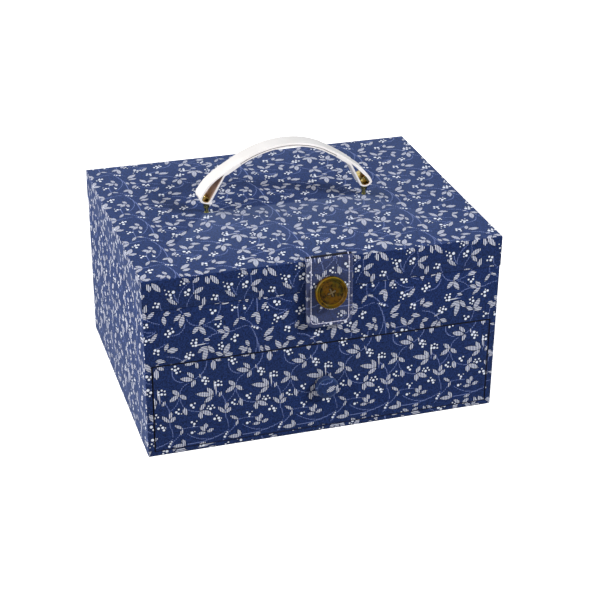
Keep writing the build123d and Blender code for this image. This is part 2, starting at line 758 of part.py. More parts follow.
pull_y = (tray_inner_front_y + tray_inner_back_y) / 2
with BuildPart() as pulls:
    with BuildSketch(Plane.XY.offset(tray_top_z - pull_glued)):
        with Locations(*[(side * (tray_inner_x - pull_thickness / 2), pull_y) for side in (-1, 1)]):
            Rectangle(pull_thickness, pull_width)
    extrude(amount=pull_glued + pull_stand)
finish("tray_pulls", pulls.part)
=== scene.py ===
# %% [markdown]
# # A cloth-covered sewing box
# The box is rigid board covered in a printed cotton: a hinged lid with a strap handle, a buttoned
# tab that closes it, one drawer, and a lift-out tray under the lid. The construction comes from the
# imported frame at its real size. This script gives every piece its finish, and replaces the pieces
# whose look needs more than the plain solid: cloth, leather, padding, button and brass.

import math

import bmesh
import bpy
from mathutils import Matrix, Vector

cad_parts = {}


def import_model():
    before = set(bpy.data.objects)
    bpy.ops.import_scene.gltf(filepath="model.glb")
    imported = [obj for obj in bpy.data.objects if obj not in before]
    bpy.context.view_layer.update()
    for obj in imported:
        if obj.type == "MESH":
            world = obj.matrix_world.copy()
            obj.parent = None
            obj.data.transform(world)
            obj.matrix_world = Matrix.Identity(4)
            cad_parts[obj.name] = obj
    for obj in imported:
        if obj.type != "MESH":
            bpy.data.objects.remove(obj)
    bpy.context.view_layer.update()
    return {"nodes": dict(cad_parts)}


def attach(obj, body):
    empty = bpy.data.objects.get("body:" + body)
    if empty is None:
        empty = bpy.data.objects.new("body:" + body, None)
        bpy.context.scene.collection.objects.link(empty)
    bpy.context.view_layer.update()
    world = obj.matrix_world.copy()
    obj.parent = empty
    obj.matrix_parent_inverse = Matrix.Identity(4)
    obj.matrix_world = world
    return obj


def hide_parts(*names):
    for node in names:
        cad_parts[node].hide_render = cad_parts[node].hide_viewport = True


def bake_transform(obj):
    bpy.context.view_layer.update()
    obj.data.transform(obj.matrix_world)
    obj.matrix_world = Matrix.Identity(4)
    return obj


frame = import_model()
MM = 0.001
IMAGE_SIZE = 600


def new_object(name, data):
    # An object in the scene for a mesh, a lamp or a camera.
    thing = bpy.data.objects.new(name, data)
    bpy.context.scene.collection.objects.link(thing)
    return thing


def new_mesh(name, points, edges, faces):
    # An object with a mesh of its own.
    mesh = bpy.data.meshes.new(name)
    mesh.from_pydata(points, edges, faces)
    return new_object(name, mesh)


# %% [markdown]
# ## Camera
# A product photograph is taken from far away with a long lens, so that the box's edges stay nearly
# parallel. The view direction is given as two angles round the box, and the camera is then rolled by
# less than a degree, as a hand-levelled tripod is. Placing it by angles and a distance is easier to
# correct than three coordinates: each number changes one thing in the picture.

# %% Camera
VIEW_AZIMUTH = math.radians(-17.5)
VIEW_ELEVATION = math.radians(27.3)
VIEW_ROLL = math.radians(0.54)
VIEW_DISTANCE = 1.366
VIEW_TARGET = Vector((0.0141, 0.0, 0.0621))
FOCAL_PIXELS = 1549.0
SENSOR_WIDTH = 36.0

towards_camera = Vector((
    math.sin(VIEW_AZIMUTH) * math.cos(VIEW_ELEVATION),
    -math.cos(VIEW_AZIMUTH) * math.cos(VIEW_ELEVATION),
    math.sin(VIEW_ELEVATION),
))
camera_data = bpy.data.cameras.new("camera")
camera_data.sensor_width = SENSOR_WIDTH
camera_data.lens = FOCAL_PIXELS * SENSOR_WIDTH / IMAGE_SIZE
camera = new_object("camera", camera_data)
facing = (-towards_camera).to_track_quat("-Z", "Y").to_matrix().to_4x4()
camera.matrix_world = (
    Matrix.Translation(VIEW_TARGET + towards_camera * VIEW_DISTANCE)
    @ facing
    @ Matrix.Rotation(VIEW_ROLL, 4, "Z")
)
bpy.context.scene.camera = camera
print("camera at", tuple(round(v, 4) for v in camera.matrix_world.translation))

# %% [markdown]
# ## Small helpers for node trees
# A shader tree written out node by node is long and hard to read. These helpers add one node and
# give back its output socket, so that a formula in the script reads like the formula on paper. A
# plain number may stand wherever a socket can.

# %% Node helpers


def connect(tree, value, socket):
    # Links a socket, or sets a plain value.
    if isinstance(value, bpy.types.NodeSocket):
        tree.links.new(value, socket)
    else:
        socket.default_value = value


def add(tree, kind, **values):
    # A new node. Names in capitals are its inputs, with _ for spaces, and the others its settings.
    node = tree.nodes.new(kind)
    for name, value in values.items():
        if name[0].isupper():
            connect(tree, value, node.inputs[name.replace("_", " ")])
        else:
            setattr(node, name, value)
    return node


def calc(tree, operation, *values, kind="ShaderNodeMath", result="Value"):
    # A Math node.
    node = add(tree, kind, operation=operation)
    for value, socket in zip(values, node.inputs):
        connect(tree, value, socket)
    return node.outputs[result]


def vector_calc(tree, operation, *values):
    # A Vector Math node. Its result is a vector, or a number for a distance.
    result = "Value" if operation == "DISTANCE" else "Vector"
    return calc(tree, operation, *values, kind="ShaderNodeVectorMath", result=result)


def scaled(tree, vector, factor):
    # A vector times a number.
    node = add(tree, "ShaderNodeVectorMath", operation="SCALE", Scale=factor)
    connect(tree, vector, node.inputs[0])
    return node.outputs["Vector"]


def split(tree, vector):
    return tuple(add(tree, "ShaderNodeSeparateXYZ", Vector=vector).outputs)


def placed(tree, vector, place, turn):
    # A point as seen from a motif that stands at a place and is turned about Z.
    node = add(tree, "ShaderNodeMapping", vector_type="TEXTURE", Vector=vector,
               Location=(place[0], place[1], 0), Rotation=(0, 0, turn))
    return node.outputs["Vector"]


def ramp(tree, value, low, high, to_low=0.0, to_high=1.0):
    # A smooth step from one value to another.
    node = add(tree, "ShaderNodeMapRange", interpolation_type="SMOOTHSTEP", Value=value,
               From_Min=low, From_Max=high, To_Min=to_low, To_Max=to_high)
    return node.outputs["Result"]


def mixed(tree, factor, first, second):
    # A Mix Color node.
    node = add(tree, "ShaderNodeMix", data_type="RGBA", Factor=factor)
    sockets = {socket.identifier: socket for socket in node.inputs}
    connect(tree, first, sockets["A_Color"])
    connect(tree, second, sockets["B_Color"])
    return next(socket for socket in node.outputs if socket.identifier == "Result_Color")


def noise(tree, vector, scale, detail=2.0, roughness=0.5):
    node = add(tree, "ShaderNodeTexNoise", Vector=vector, Scale=scale, Detail=detail, Roughness=roughness)
    return node.outputs["Fac"]


def bump(tree, height, strength, distance):
    node = add(tree, "ShaderNodeBump", Strength=strength, Distance=distance, Height=height)
    return node.outputs["Normal"]


def new_group(name, outputs, **numbers):
    # A shader node group: a point on the cloth and some numbers in, and numbers out. Gives the tree,
    # its inputs by name, and the sockets of its output node.
    tree = bpy.data.node_groups.new(name, "ShaderNodeTree")
    tree.interface.new_socket("Cloth", in_out="INPUT", socket_type="NodeSocketVector")
    for label, default in numbers.items():
        socket = tree.interface.new_socket(label, in_out="INPUT", socket_type="NodeSocketFloat")
        socket.default_value = default
    for label in outputs:
        tree.interface.new_socket(label, in_out="OUTPUT", socket_type="NodeSocketFloat")
    entry = tree.nodes.new("NodeGroupInput")
    return tree, entry.outputs, tree.nodes.new("NodeGroupOutput").inputs


def use_group(tree, group, **values):
    return add(tree, "ShaderNodeGroup", node_tree=group, **values).outputs


def srgb(red, green, blue):
    # A colour as a picture shows it (0 to 255), turned to the linear values that a shader uses.
    def linear(value):
        value /= 255
        return value / 12.92 if value <= 0.04045 else ((value + 0.055) / 1.055) ** 2.4
    return (linear(red), linear(green), linear(blue), 1.0)


def new_material(name, **constants):
    # A material with a Principled shader whose constant values are set on its own sockets.
    material = bpy.data.materials.new(name)
    material.use_nodes = True
    tree = material.node_tree
    shader = tree.nodes["Principled BSDF"]
    for label, value in constants.items():
        shader.inputs[label.replace("_", " ")].default_value = value
    return material, tree, shader.inputs


def surface(tree, shader, colour, relief, roughness=None):
    # Links a colour and a relief (height, strength and depth) to a shader, and a roughness that varies.
    connect(tree, colour, shader["Base Color"])
    if roughness:
        connect(tree, roughness, shader["Roughness"])
    connect(tree, bump(tree, *relief), shader["Normal"])


def coordinates(tree):
    return tree.nodes.new("ShaderNodeTexCoord").outputs["Object"]


# %% [markdown]
# ## The printed cotton
# The print is a small trailing vine, an old and common kind of dress print: sprigs of three to five
# pointed leaves with a fine hatch, bunches of white berries, and thin beaded stems, in white on navy.
# It could be painted as a picture, but a formula stays sharp at any distance. Each leaf is the space
# between two curves, each berry a circle and each stem a shallow parabola. All motifs stand on one
# rectangular tile of cloth, and each one is measured from its own place with the distance wrapped
# round the tile, so that a leaf that crosses the tile's edge comes in again on the other side.

# %% Leaves, berries and stems
TILE = (46.4, 106.0)          # repeat of the print in mm, across and along the cloth
EDGE = 0.16                   # softness of a printed edge, in mm
LEAF_FULLNESS = 0.86          # the printed leaf, as a share of its sketched width
LEAF_REACH = 0.98             # and as a share of its sketched length
MIDRIB = 0.16                 # half the width of a leaf's bare midrib, in mm
STEM_FINENESS = 0.64          # the printed stem, as a share of its sketched thickness


def wrapped(tree, cloth, place):
    # The point's distance from a place, by the shortest way round the tile.
    away = vector_calc(tree, "SUBTRACT", cloth, (place[0], place[1], 0))
    half = (TILE[0] / 2, TILE[1] / 2, 1)
    return vector_calc(tree, "WRAP", away, half, tuple(-h for h in half))


def leaf_edge(tree, point, base, tip, width, rib=0.0):
    # How far a point is inside a leaf, in mm. The leaf runs from its base to its tip, and a rib
    # leaves a bare line along its middle.
    length = math.dist(base, tip)
    turn = math.atan2(tip[1] - base[1], tip[0] - base[0])
    along, across, _ = split(tree, placed(tree, point, base, turn))
    lens = calc(tree, "MULTIPLY", along, calc(tree, "SUBTRACT", length, along))
    half_width = calc(tree, "MULTIPLY", lens, 2 * LEAF_FULLNESS * width / length**2)
    aside = calc(tree, "ABSOLUTE", across)
    inside = calc(tree, "SUBTRACT", half_width, aside)
    if rib:
        inside = calc(tree, "MINIMUM", inside, calc(tree, "SUBTRACT", aside, rib))
    return inside


def stem_edge(tree, cloth, start, end, bow, thickness):
    # How far a point is inside a stem that runs from start to end and bows out sideways.
    middle = ((start[0] + end[0]) / 2, (start[1] + end[1]) / 2)
    half = math.dist(start, end) / 2
    turn = math.atan2(end[1] - start[1], end[0] - start[0])
    point = placed(tree, wrapped(tree, cloth, middle), (0, 0), turn)
    along, across, _ = split(tree, point)
    square = calc(tree, "MULTIPLY", along, along)
    curve = calc(tree, "MULTIPLY_ADD", square, bow / half**2, across)
    off = calc(tree, "ABSOLUTE", calc(tree, "SUBTRACT", curve, bow))
    past = calc(tree, "SUBTRACT", calc(tree, "ABSOLUTE", along), half)
    return calc(tree, "SUBTRACT", thickness / 2, calc(tree, "MAXIMUM", off, past))


# %% [markdown]
# The motifs are written as a cutter of printing blocks would draw them, in mm on the cloth, with X
# across and Y down it. A sprig is a list of leaves, each from base to tip with its width.

# %% Motifs of the print
SPRIGS = [
    [((40, 18), (29.5, 15), 4.4), ((41, 16), (35.5, 10.3), 3.4), ((41.5, 18.5), (38.5, 24.3), 3.6)],
    [((28, 29.5), (22.3, 24.3), 3.8), ((27.8, 30), (19.5, 34.6), 4.0), ((28.5, 30), (34.2, 34.9), 3.6)],
    [((55.5, 34.8), (41.5, 31.4), 4.4), ((55.8, 34.2), (51, 27.4), 3.6),
     ((55.5, 36), (48.3, 40.5), 3.8), ((60.3, 37.6), (62.6, 33.2), 2.6)],
    [((44.6, 47.3), (48.5, 41.6), 3.6), ((44.5, 48.6), (45, 55.5), 4.2),
     ((45.5, 48.2), (54.6, 53.2), 4.4)],
    [((31.4, 42.3), (32.9, 49.7), 4.0)],
    [((18.5, 53.5), (12.8, 46.8), 3.2), ((18.8, 50.2), (21.3, 44.2), 3.2),
     ((19, 53.6), (24.2, 49.3), 3.6)],
    [((29, 61.6), (22.8, 57.3), 2.6), ((29.3, 62.4), (27.2, 67.3), 2.2)],
    [((48.2, 67.4), (43.8, 62.6), 3.4), ((48.6, 65.2), (48.3, 60.2), 3.6),
     ((47.8, 69), (41.3, 69), 2.8), ((49.2, 68.7), (54.8, 66.6), 3.2)],
    [((31, 77.6), (20.3, 77), 3.8), ((31, 77.2), (28, 71.8), 3.2), ((47.5, 78.3), (42, 79.6), 2.6)],
    [((42, 2.4), (33.8, 3), 3.6), ((43, 2.6), (44.2, 8.2), 3.6), ((57.2, 3), (57.3, 12.2), 4.8),
     ((58, 1.4), (63.8, 4.4), 3.2)],
    [((41.3, 95), (49.8, 90.6), 4.2), ((42, 96), (46.8, 101.6), 3.4)],
    [((28, 102.5), (20.3, 96.3), 3.2), ((48.4, 107), (50.2, 99.2), 3.8)],
    [((8.6, 81.4), (15.8, 89.8), 4.4), ((5.5, 81.6), (7.2, 88.6), 3.8)],
    [((41.2, 85.4), (46.8, 81.8), 3.6), ((38.6, 84.6), (33.2, 80.8), 3.2)],
]
BERRY_BUNCHES = [
    [(26, 3, 0.9), (23.5, 5, 0.8), (26, 6.4, 1.2), (28.5, 5.4, 0.9), (27, 9, 1.0), (30, 8.4, 0.6)],
    [(49.4, 17.8, 1.25), (47.7, 20, 1.1), (50.5, 21, 1.0), (52, 18.7, 0.6), (49.8, 23.4, 1.0),
     (52.6, 21.6, 0.6)],
    [(58, 23.8, 0.8), (60.5, 22.8, 0.8), (57.8, 26.2, 1.0), (60.3, 26.4, 1.1), (62.9, 24, 0.7),
     (63, 27, 0.8)],
    [(37.4, 41, 1.15), (39, 43.4, 1.0), (40.4, 39.8, 0.7)],
    [(24.8, 45.2, 1.0), (27, 43, 0.8), (26.6, 46.9, 0.9), (29, 47.5, 0.5)],
    [(51.5, 44.8, 0.7), (53, 47.4, 1.1), (54.8, 44.6, 0.8), (56.2, 47, 0.7), (50.4, 46.6, 0.6)],
    [(9.5, 57.6, 1.1), (11.5, 54.9, 0.7), (13, 57.5, 1.15), (13.8, 60, 1.0), (15.2, 58, 0.5)],
    [(37, 57, 0.9), (39, 59, 1.0), (41.1, 56.9, 0.5), (38.5, 61, 0.6)],
    [(36.7, 67, 1.1), (39, 66.4, 0.5)],
    [(18.5, 73.9, 0.8), (17.3, 76.3, 1.0), (19.6, 72.2, 0.6)],
    [(37.9, 91.4, 1.25), (35, 93, 1.0), (37, 95, 1.05), (34.8, 95.6, 0.6)],
    [(25.6, 91.4, 1.25), (22, 90.4, 0.7), (23, 93.5, 1.1), (20, 92.4, 0.7), (23.6, 96, 0.9),
     (19, 88.8, 0.5)],
    [(11, 98.9, 0.8), (13.6, 99.8, 1.0), (12.5, 102.2, 1.15), (9.4, 102, 0.8)],
    [(32, 83.4, 0.6), (34.2, 85.2, 0.9), (31.2, 86.2, 0.5)],
]
STEMS = [
    ((23.6, 7), (31.2, 18.8), 3.0, 1.0), ((52, 3), (42, 17.2), -2.4, 0.9),
    ((46.2, 14.4), (47, 19), -0.6, 0.7),
    ((35.6, 20.4), (28.6, 29), 1.6, 0.8), ((27.8, 33), (20.4, 43.2), -1.2, 0.6),
    ((28.6, 33), (31.4, 42), 0.6, 0.6),
    ((11.8, 31), (19.4, 45), -1.6, 0.9), ((58.2, 32), (57.8, 36), 0.0, 0.8),
    ((32, 43), (44, 48.2), 1.0, 0.7),
    ((19.2, 44), (19, 58), 0.4, 0.7), ((18.8, 57), (21, 68), -0.6, 0.6),
    ((33, 67.6), (66.6, 70.4), 6.4, 0.7),
    ((32.6, 77), (60.5, 73.5), 1.6, 1.0), ((28.6, 62.4), (20.6, 72.6), -1.2, 0.7),
    ((20.6, 72.4), (15.4, 79.6), -0.8, 0.6),
    ((29.6, 61.8), (42.8, 62.6), -0.8, 0.6), ((41, 85.6), (41.2, 95), -0.4, 0.6),
    ((38, 85.4), (29, 101.4), 2.4, 0.6),
    ((40.4, 96), (35.6, 105), 0.6, 0.6), ((26.2, 94), (29.2, 101.2), 0.4, 1.0),
    ((14.4, 100), (17.2, 108), 0.6, 0.7),
]
print(sum(len(s) for s in SPRIGS), "leaves,", sum(len(b) for b in BERRY_BUNCHES), "berries,",
      len(STEMS), "stems on a tile of", TILE, "mm")

# %% [markdown]
# The print is engraved in fine vertical lines, which give a leaf its hatch and a slightly toothed
# edge, and break a stem into beads. One wave across the cloth and one along it do both. The group's
# nodes are made in the order in which they are worked out, with one running maximum for each kind of
# motif, because the renderer keeps every unfinished value in a small store.

# %% The print as a node group
HATCH_PITCH = 1.4             # mm between the engraved lines
TOOTH = 0.28                  # how far the engraving moves the edge of a leaf, in mm
BEAD = 0.24                   # and of a stem
TRUMPETS = [((57.2, 22.6), (58.3, 34), 1.5), ((45.4, 13.6), (46.6, 17.6), 1.0)]


def vine_print():
    tree, entry, out = new_group("vine print", ("Leaves", "Hatch", "Berries", "Stems", "Halo"))
    cloth = scaled(tree, entry["Cloth"], 1 / MM)
    waves = vector_calc(tree, "SINE", scaled(tree, cloth, math.tau / HATCH_PITCH))
    across, along, _ = split(tree, waves)
    connect(tree, ramp(tree, across, -0.6, 0.4), out["Hatch"])
    leaves = berries = stems = -1.0
    for sprig in SPRIGS:
        place = sprig[0][0]
        point = wrapped(tree, cloth, place)
        for base, tip, width in sprig:
            start = Vector(base) - Vector(place)
            end = start + (Vector(tip) - Vector(base)) * LEAF_REACH
            inside = leaf_edge(tree, point, tuple(start), tuple(end), width, MIDRIB)
            leaves = calc(tree, "MAXIMUM", inside, leaves)
    for base, tip, width in TRUMPETS:
        point = wrapped(tree, cloth, base)
        shifted = (tip[0] - base[0], tip[1] - base[1])
        leaves = calc(tree, "MAXIMUM", leaf_edge(tree, point, (0, 0), shifted, width), leaves)
    toothed = calc(tree, "MULTIPLY_ADD", across, TOOTH, leaves)
    connect(tree, ramp(tree, toothed, -EDGE, EDGE), out["Leaves"])
    for bunch in BERRY_BUNCHES:
        place = bunch[0][:2]
        point = wrapped(tree, cloth, place)
        for x, y, radius in bunch:
            away = vector_calc(tree, "DISTANCE", point, (x - place[0], y - place[1], 0))
            berries = calc(tree, "MAXIMUM", calc(tree, "SUBTRACT", radius, away), berries)
    connect(tree, ramp(tree, berries, -EDGE, EDGE), out["Berries"])
    connect(tree, ramp(tree, calc(tree, "MAXIMUM", toothed, berries), -1.0, -0.1), out["Halo"])
    for start, end, bow, thickness in STEMS:
        inside = stem_edge(tree, cloth, start, end, bow, thickness * STEM_FINENESS)
        stems = calc(tree, "MAXIMUM", inside, stems)
    beads = calc(tree, "MULTIPLY_ADD", calc(tree, "ADD", across, along), BEAD, -0.04)
    connect(tree, ramp(tree, calc(tree, "ADD", stems, beads), -EDGE, EDGE), out["Stems"])
    return tree


VINE_PRINT = vine_print()
print(len(VINE_PRINT.nodes), "nodes draw the print")

# %% [markdown]
# ## Weave
# Plain cotton has one thread over and one under in both directions. Seen from a step away it only
# breaks up the light, so two crossed waves, which swap their height at each crossing, are enough.
# The group gives the height for a bump and a shade for the colour, so that each cloth can use it.

# %% Weave group


def plain_weave():
    tree, entry, out = new_group("plain weave", ("Height", "Shade"), Pitch=0.4 * MM)
    turns = calc(tree, "DIVIDE", math.pi, entry["Pitch"])
    across, along, _ = split(tree, scaled(tree, entry["Cloth"], turns))
    over = calc(tree, "MULTIPLY", calc(tree, "SINE", across), calc(tree, "SINE", along))
    connect(tree, calc(tree, "ABSOLUTE", over), out["Height"])
    slub = noise(tree, scaled(tree, entry["Cloth"], 1 / MM), 0.35, 3.0)
    connect(tree, calc(tree, "MULTIPLY_ADD", over, 0.08, slub), out["Shade"])
    return tree


PLAIN_WEAVE = plain_weave()

# %% [markdown]
# ## Materials of the cloths
# The navy ground is printed first and the motifs on top of it in two whites: leaves are greyer, because
# their hatch lets the navy through, and berries are clean white. The cloths of the tab and the knob are the
# same print under a painted sheen, a pale film, with a stronger painted highlight in a band near their
# edge.

# %% Printed cloth materials
NAVY = srgb(25, 45, 96)
NAVY_DEEP = srgb(3, 12, 40)
LEAF_WHITE = srgb(199, 202, 212)
LEAF_SHADE = srgb(74, 85, 128)
BERRY_WHITE = srgb(212, 218, 230)
STEM_LILAC = srgb(98, 112, 160)


def printed_cloth(name, painted_sheen=0.0, sheen_colour=None, edge=0.0):
    material, tree, shader = new_material(
        name, Roughness=0.88, Specular_IOR_Level=0.2, Specular_Tint=(0.5, 0.65, 1.0, 1),
        Sheen_Weight=0.16, Sheen_Roughness=0.5, Sheen_Tint=(0.45, 0.6, 1.0, 1),
    )
    point = add(tree, "ShaderNodeUVMap", uv_map="cloth").outputs["UV"]
    weave = use_group(tree, PLAIN_WEAVE, Cloth=point)
    motifs = use_group(tree, VINE_PRINT, Cloth=point)
    speckle = noise(tree, scaled(tree, point, 1 / MM), 0.8, 2.0, 0.7)
    patchy = calc(tree, "MULTIPLY_ADD", speckle, 2.4, calc(tree, "SUBTRACT", weave["Shade"], 1.15))
    ground = mixed(tree, ramp(tree, patchy, 0.0, 1.0), NAVY_DEEP, NAVY)
    ground = mixed(tree, calc(tree, "MULTIPLY", motifs["Halo"], 0.7), ground, NAVY_DEEP)
    leaf = mixed(tree, motifs["Hatch"], LEAF_SHADE, LEAF_WHITE)
    colour = mixed(tree, motifs["Stems"], ground, STEM_LILAC)
    colour = mixed(tree, motifs["Leaves"], colour, leaf)
    colour = mixed(tree, motifs["Berries"], colour, BERRY_WHITE)
    if painted_sheen:
        # Painted sheen: a pale film over the whole cloth, and a stronger painted highlight in the edge
        # band.
        highlight_band = add(tree, "ShaderNodeAttribute", attribute_name="highlight_band").outputs["Fac"]
        colour = mixed(tree, calc(tree, "MULTIPLY_ADD", highlight_band, edge, painted_sheen), colour, sheen_colour)
    surface(tree, shader, colour, (weave["Height"], 0.25, 0.05 * MM))
    return material


PRINT_CLOTH = printed_cloth("printed cotton")
TAB_CLOTH = printed_cloth("printed cotton of the tab under painted sheen", 0.13, srgb(116, 116, 134), 0.06)
KNOB_CLOTH = printed_cloth("printed cotton of the knob under painted sheen", 0.03, srgb(96, 122, 158), 0.17)

# %% Plain materials


def plain_cloth(name, dark, light, pitch=0.5 * MM, sheen=0.1):
    # Cotton or ribbon in one colour, on the object's own coordinates.
    material, tree, shader = new_material(
        name, Roughness=0.9, Specular_IOR_Level=0.2, Sheen_Weight=sheen, Sheen_Roughness=0.5,
    )
    weave = use_group(tree, PLAIN_WEAVE, Cloth=coordinates(tree), Pitch=pitch)
    surface(tree, shader, mixed(tree, weave["Shade"], dark, light), (weave["Height"], 0.3, 0.06 * MM))
    return material


LINING_CLOTH = plain_cloth("navy lining cotton", srgb(26, 32, 74), srgb(40, 48, 100))
RIBBON = plain_cloth("white ribbon", srgb(214, 212, 206), srgb(240, 238, 232), 0.35 * MM, 0.25)


def speckled(name, dark, light, scale, rough, bump_height):
    # Paper, card or a moulded shell.
    material, tree, shader = new_material(name, Specular_IOR_Level=0.25)
    point = coordinates(tree)
    fibres = noise(tree, point, scale, 6.0, 0.6)
    surface(tree, shader, mixed(tree, ramp(tree, fibres, 0.3, 0.7), dark, light),
            (fibres, 0.3, bump_height), ramp(tree, fibres, 0.2, 0.8, rough - 0.08, rough + 0.05))
    return material


BASE_PAPER = speckled("dark base paper", srgb(22, 24, 40), srgb(36, 38, 58), 900, 0.85, 0.05 * MM)
GREY_CARD = speckled("grey card", srgb(120, 118, 112), srgb(150, 148, 142), 800, 0.9, 0.05 * MM)
KNOB_SHELL = speckled("moulded shell", srgb(84, 84, 88), srgb(96, 96, 100), 500, 0.55, 0.02 * MM)


def leather(name, dark, light, gloss=0.4):
    # Smooth coated leather with a fine pebbled grain.
    material, tree, shader = new_material(
        name, Specular_IOR_Level=gloss, Coat_Weight=gloss / 5, Coat_Roughness=0.3,
    )
    point = coordinates(tree)
    cells = add(tree, "ShaderNodeTexVoronoi", feature="SMOOTH_F1", Scale=1100, Vector=point)
    cloudy = noise(tree, point, 60, 3.0)
    surface(tree, shader, mixed(tree, ramp(tree, cloudy, 0.3, 0.7), dark, light),
            (cells.outputs["Distance"], 0.15, 0.05 * MM), ramp(tree, cloudy, 0.2, 0.8, 0.42, 0.55))
    return material


def metal(name, colour, tarnish, rough):
    material, tree, shader = new_material(name, Metallic=1.0)
    point = coordinates(tree)
    patches = noise(tree, point, 350, 4.0)
    surface(tree, shader, mixed(tree, ramp(tree, patches, 0.35, 0.75), colour, tarnish),
            (noise(tree, point, 3000), 0.06, 0.02 * MM),
            ramp(tree, patches, 0.2, 0.8, rough, rough + 0.14))
    return material


RIM_RADIUS, LINE_RADIUS = 12.7 * MM, 10.2 * MM    # of the button's rim and of the line inside it


def button_resin(middle):
    # Marbled amber resin: warm brown clouds in dark olive, under a clear gloss. Its turned rim and the line
    # inside it are painted lighter, as painted highlights.
    material, tree, shader = new_material(
        "marbled amber resin", Roughness=0.25, Specular_IOR_Level=0.05, Coat_Weight=0.12,
        Coat_Roughness=0.08,
    )
    point = coordinates(tree)
    wide = noise(tree, point, 90, 3.0, 0.6)
    fine = noise(tree, point, 320, 3.0, 0.6)
    colour = mixed(tree, ramp(tree, wide, 0.42, 0.58), srgb(82, 54, 1), srgb(60, 54, 1))
    colour = mixed(tree, ramp(tree, fine, 0.44, 0.66), colour, srgb(32, 21, 1))
    radius = vector_calc(tree, "DISTANCE", point, tuple(middle))
    off_edge = calc(tree, "ABSOLUTE", calc(tree, "SUBTRACT", radius, RIM_RADIUS))
    off_line = calc(tree, "ABSOLUTE", calc(tree, "SUBTRACT", radius, LINE_RADIUS))
    # painted highlights: the colour is lighter on the rim and on the line inside it
    edge = ramp(tree, off_edge, 0.1 * MM, 0.5 * MM, 0.75, 0.0)
    line = ramp(tree, off_line, 0.1 * MM, 0.45 * MM, 0.4, 0.0)
    colour = mixed(tree, calc(tree, "MAXIMUM", edge, line), colour, srgb(122, 98, 14))
    surface(tree, shader, colour, (fine, 0.1, 0.05 * MM))
    return material


def sewing_thread(name, dark, light):
    # Twisted thread: fine slanted ridges across it.
    material, tree, shader = new_material(name, Roughness=0.7, Specular_IOR_Level=0.3, Sheen_Weight=0.2)
    across, along, up = split(tree, coordinates(tree))
    slant = calc(tree, "ADD", calc(tree, "ADD", across, along), up)
    twist = calc(tree, "SINE", calc(tree, "MULTIPLY", slant, math.tau / (0.5 * MM)))
    surface(tree, shader, mixed(tree, ramp(tree, twist, -0.8, 0.8), dark, light), (twist, 0.3, 0.05 * MM))
    return material


LEATHER = leather("white coated leather", srgb(195, 195, 196), srgb(202, 202, 203))
# The cut edges' leather is painted lighter than the face, as painted light on edges that get less light
# than the top.
LEATHER_EDGE_LIT = leather("leather edge painted lighter as lit", srgb(240, 236, 234), srgb(248, 245, 244))
LEATHER_INSIDE = leather("leather, flesh side", srgb(186, 160, 148), srgb(206, 180, 166), 0.15)
# Painted shade: the dark leather where the two layers meet stands for the shade in the groove between them.
LEATHER_SEAM_SHADE = leather("painted shade between the leather layers", srgb(84, 76, 74), srgb(100, 92, 88), 0.15)
BRASS = metal("brass", srgb(214, 192, 116), srgb(146, 118, 46), 0.1)
# A darker, olive brass for the handle's posts.
OLIVE_BRASS = metal("dark olive brass", srgb(124, 122, 84), srgb(82, 80, 40), 0.2)
STEEL = metal("zinc plated steel", srgb(180, 182, 186), srgb(140, 142, 148), 0.3)
BUTTON_SHIFT = Vector((0.4, 0, -1.3)) * MM        # the visible button sits this far off its solid
corners = [Vector(corner) for corner in frame["nodes"]["button"].bound_box]
RESIN = button_resin(sum(corners, Vector()) / 8 + BUTTON_SHIFT)
BUTTON_THREAD = sewing_thread("button thread", srgb(62, 48, 18), srgb(96, 80, 48))
STITCH_THREAD = sewing_thread("white stitching", srgb(176, 176, 200), srgb(206, 206, 226))
print(len(bpy.data.materials), "materials")

# %% [markdown]
# ## Giving the frame's own nodes their finish
# Boards, linings and tray parts are right as they are: flat pieces with square edges. They keep
# their nodes and take the lining cloth, and the hardware and card take a material of their own. The
# nodes that get a new piece further down take the lining cloth too, but are never seen.

# %% Finishes of the frame's nodes
FINISH = {
    "base_paper": BASE_PAPER, "tab_core": GREY_CARD, "knob_core": KNOB_SHELL, "keeper_disc": STEEL,
    "tab_magnet": STEEL, "knob_screw": STEEL, "knob_washer": STEEL, "post_washers": BRASS,
    "post_nuts": BRASS, "pivot_pins": BRASS,
}


def paint(piece, *materials):
    piece.data.materials.clear()
    for material in materials:
        piece.data.materials.append(material)


for node, piece in frame["nodes"].items():
    paint(piece, FINISH.get(node, LINING_CLOTH))
print(len(frame["nodes"]), "nodes painted")

# %% [markdown]
# ## Cloth over board
# Cloth that is glued over a board has no sharp edge: it runs round each corner in a small radius.
# The covers are taken from the frame's own solids, joined up where their triangles meet, and given
# that radius with a Bevel. Leather, brass and resin get their eased edges in the same way.

# %% Soft-edged copies of solids


def soft_copy(node, name, width, segments=2):
    # A copy of a solid with rounded edges, which stands for it.
    mesh = frame["nodes"][node].data.copy()
    mesh.name = name
    work = bmesh.new()
    work.from_mesh(mesh)
    bmesh.ops.remove_doubles(work, verts=work.verts, dist=0.002 * MM)
    bmesh.ops.dissolve_limit(work, angle_limit=math.radians(1), verts=work.verts, edges=work.edges)
    work.to_mesh(mesh)
    work.free()
    if mesh.has_custom_normals:
        mesh.attributes.remove(mesh.attributes["custom_normal"])
    piece = new_object(name, mesh)
    rounding = piece.modifiers.new("rounding", "BEVEL")
    rounding.width = width
    rounding.segments = segments
    rounding.limit_method = "ANGLE"
    rounding.angle_limit = math.radians(35)
    bake_modifiers(piece)
    smooth(piece, 40)
    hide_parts(node)
    return piece


def smooth(piece, sharp_from=None):
    # Smooth shading, except at edges that are sharper than an angle in degrees.
    piece.data.shade_smooth()
    if sharp_from:
        piece.data.set_sharp_from_angle(angle=math.radians(sharp_from))


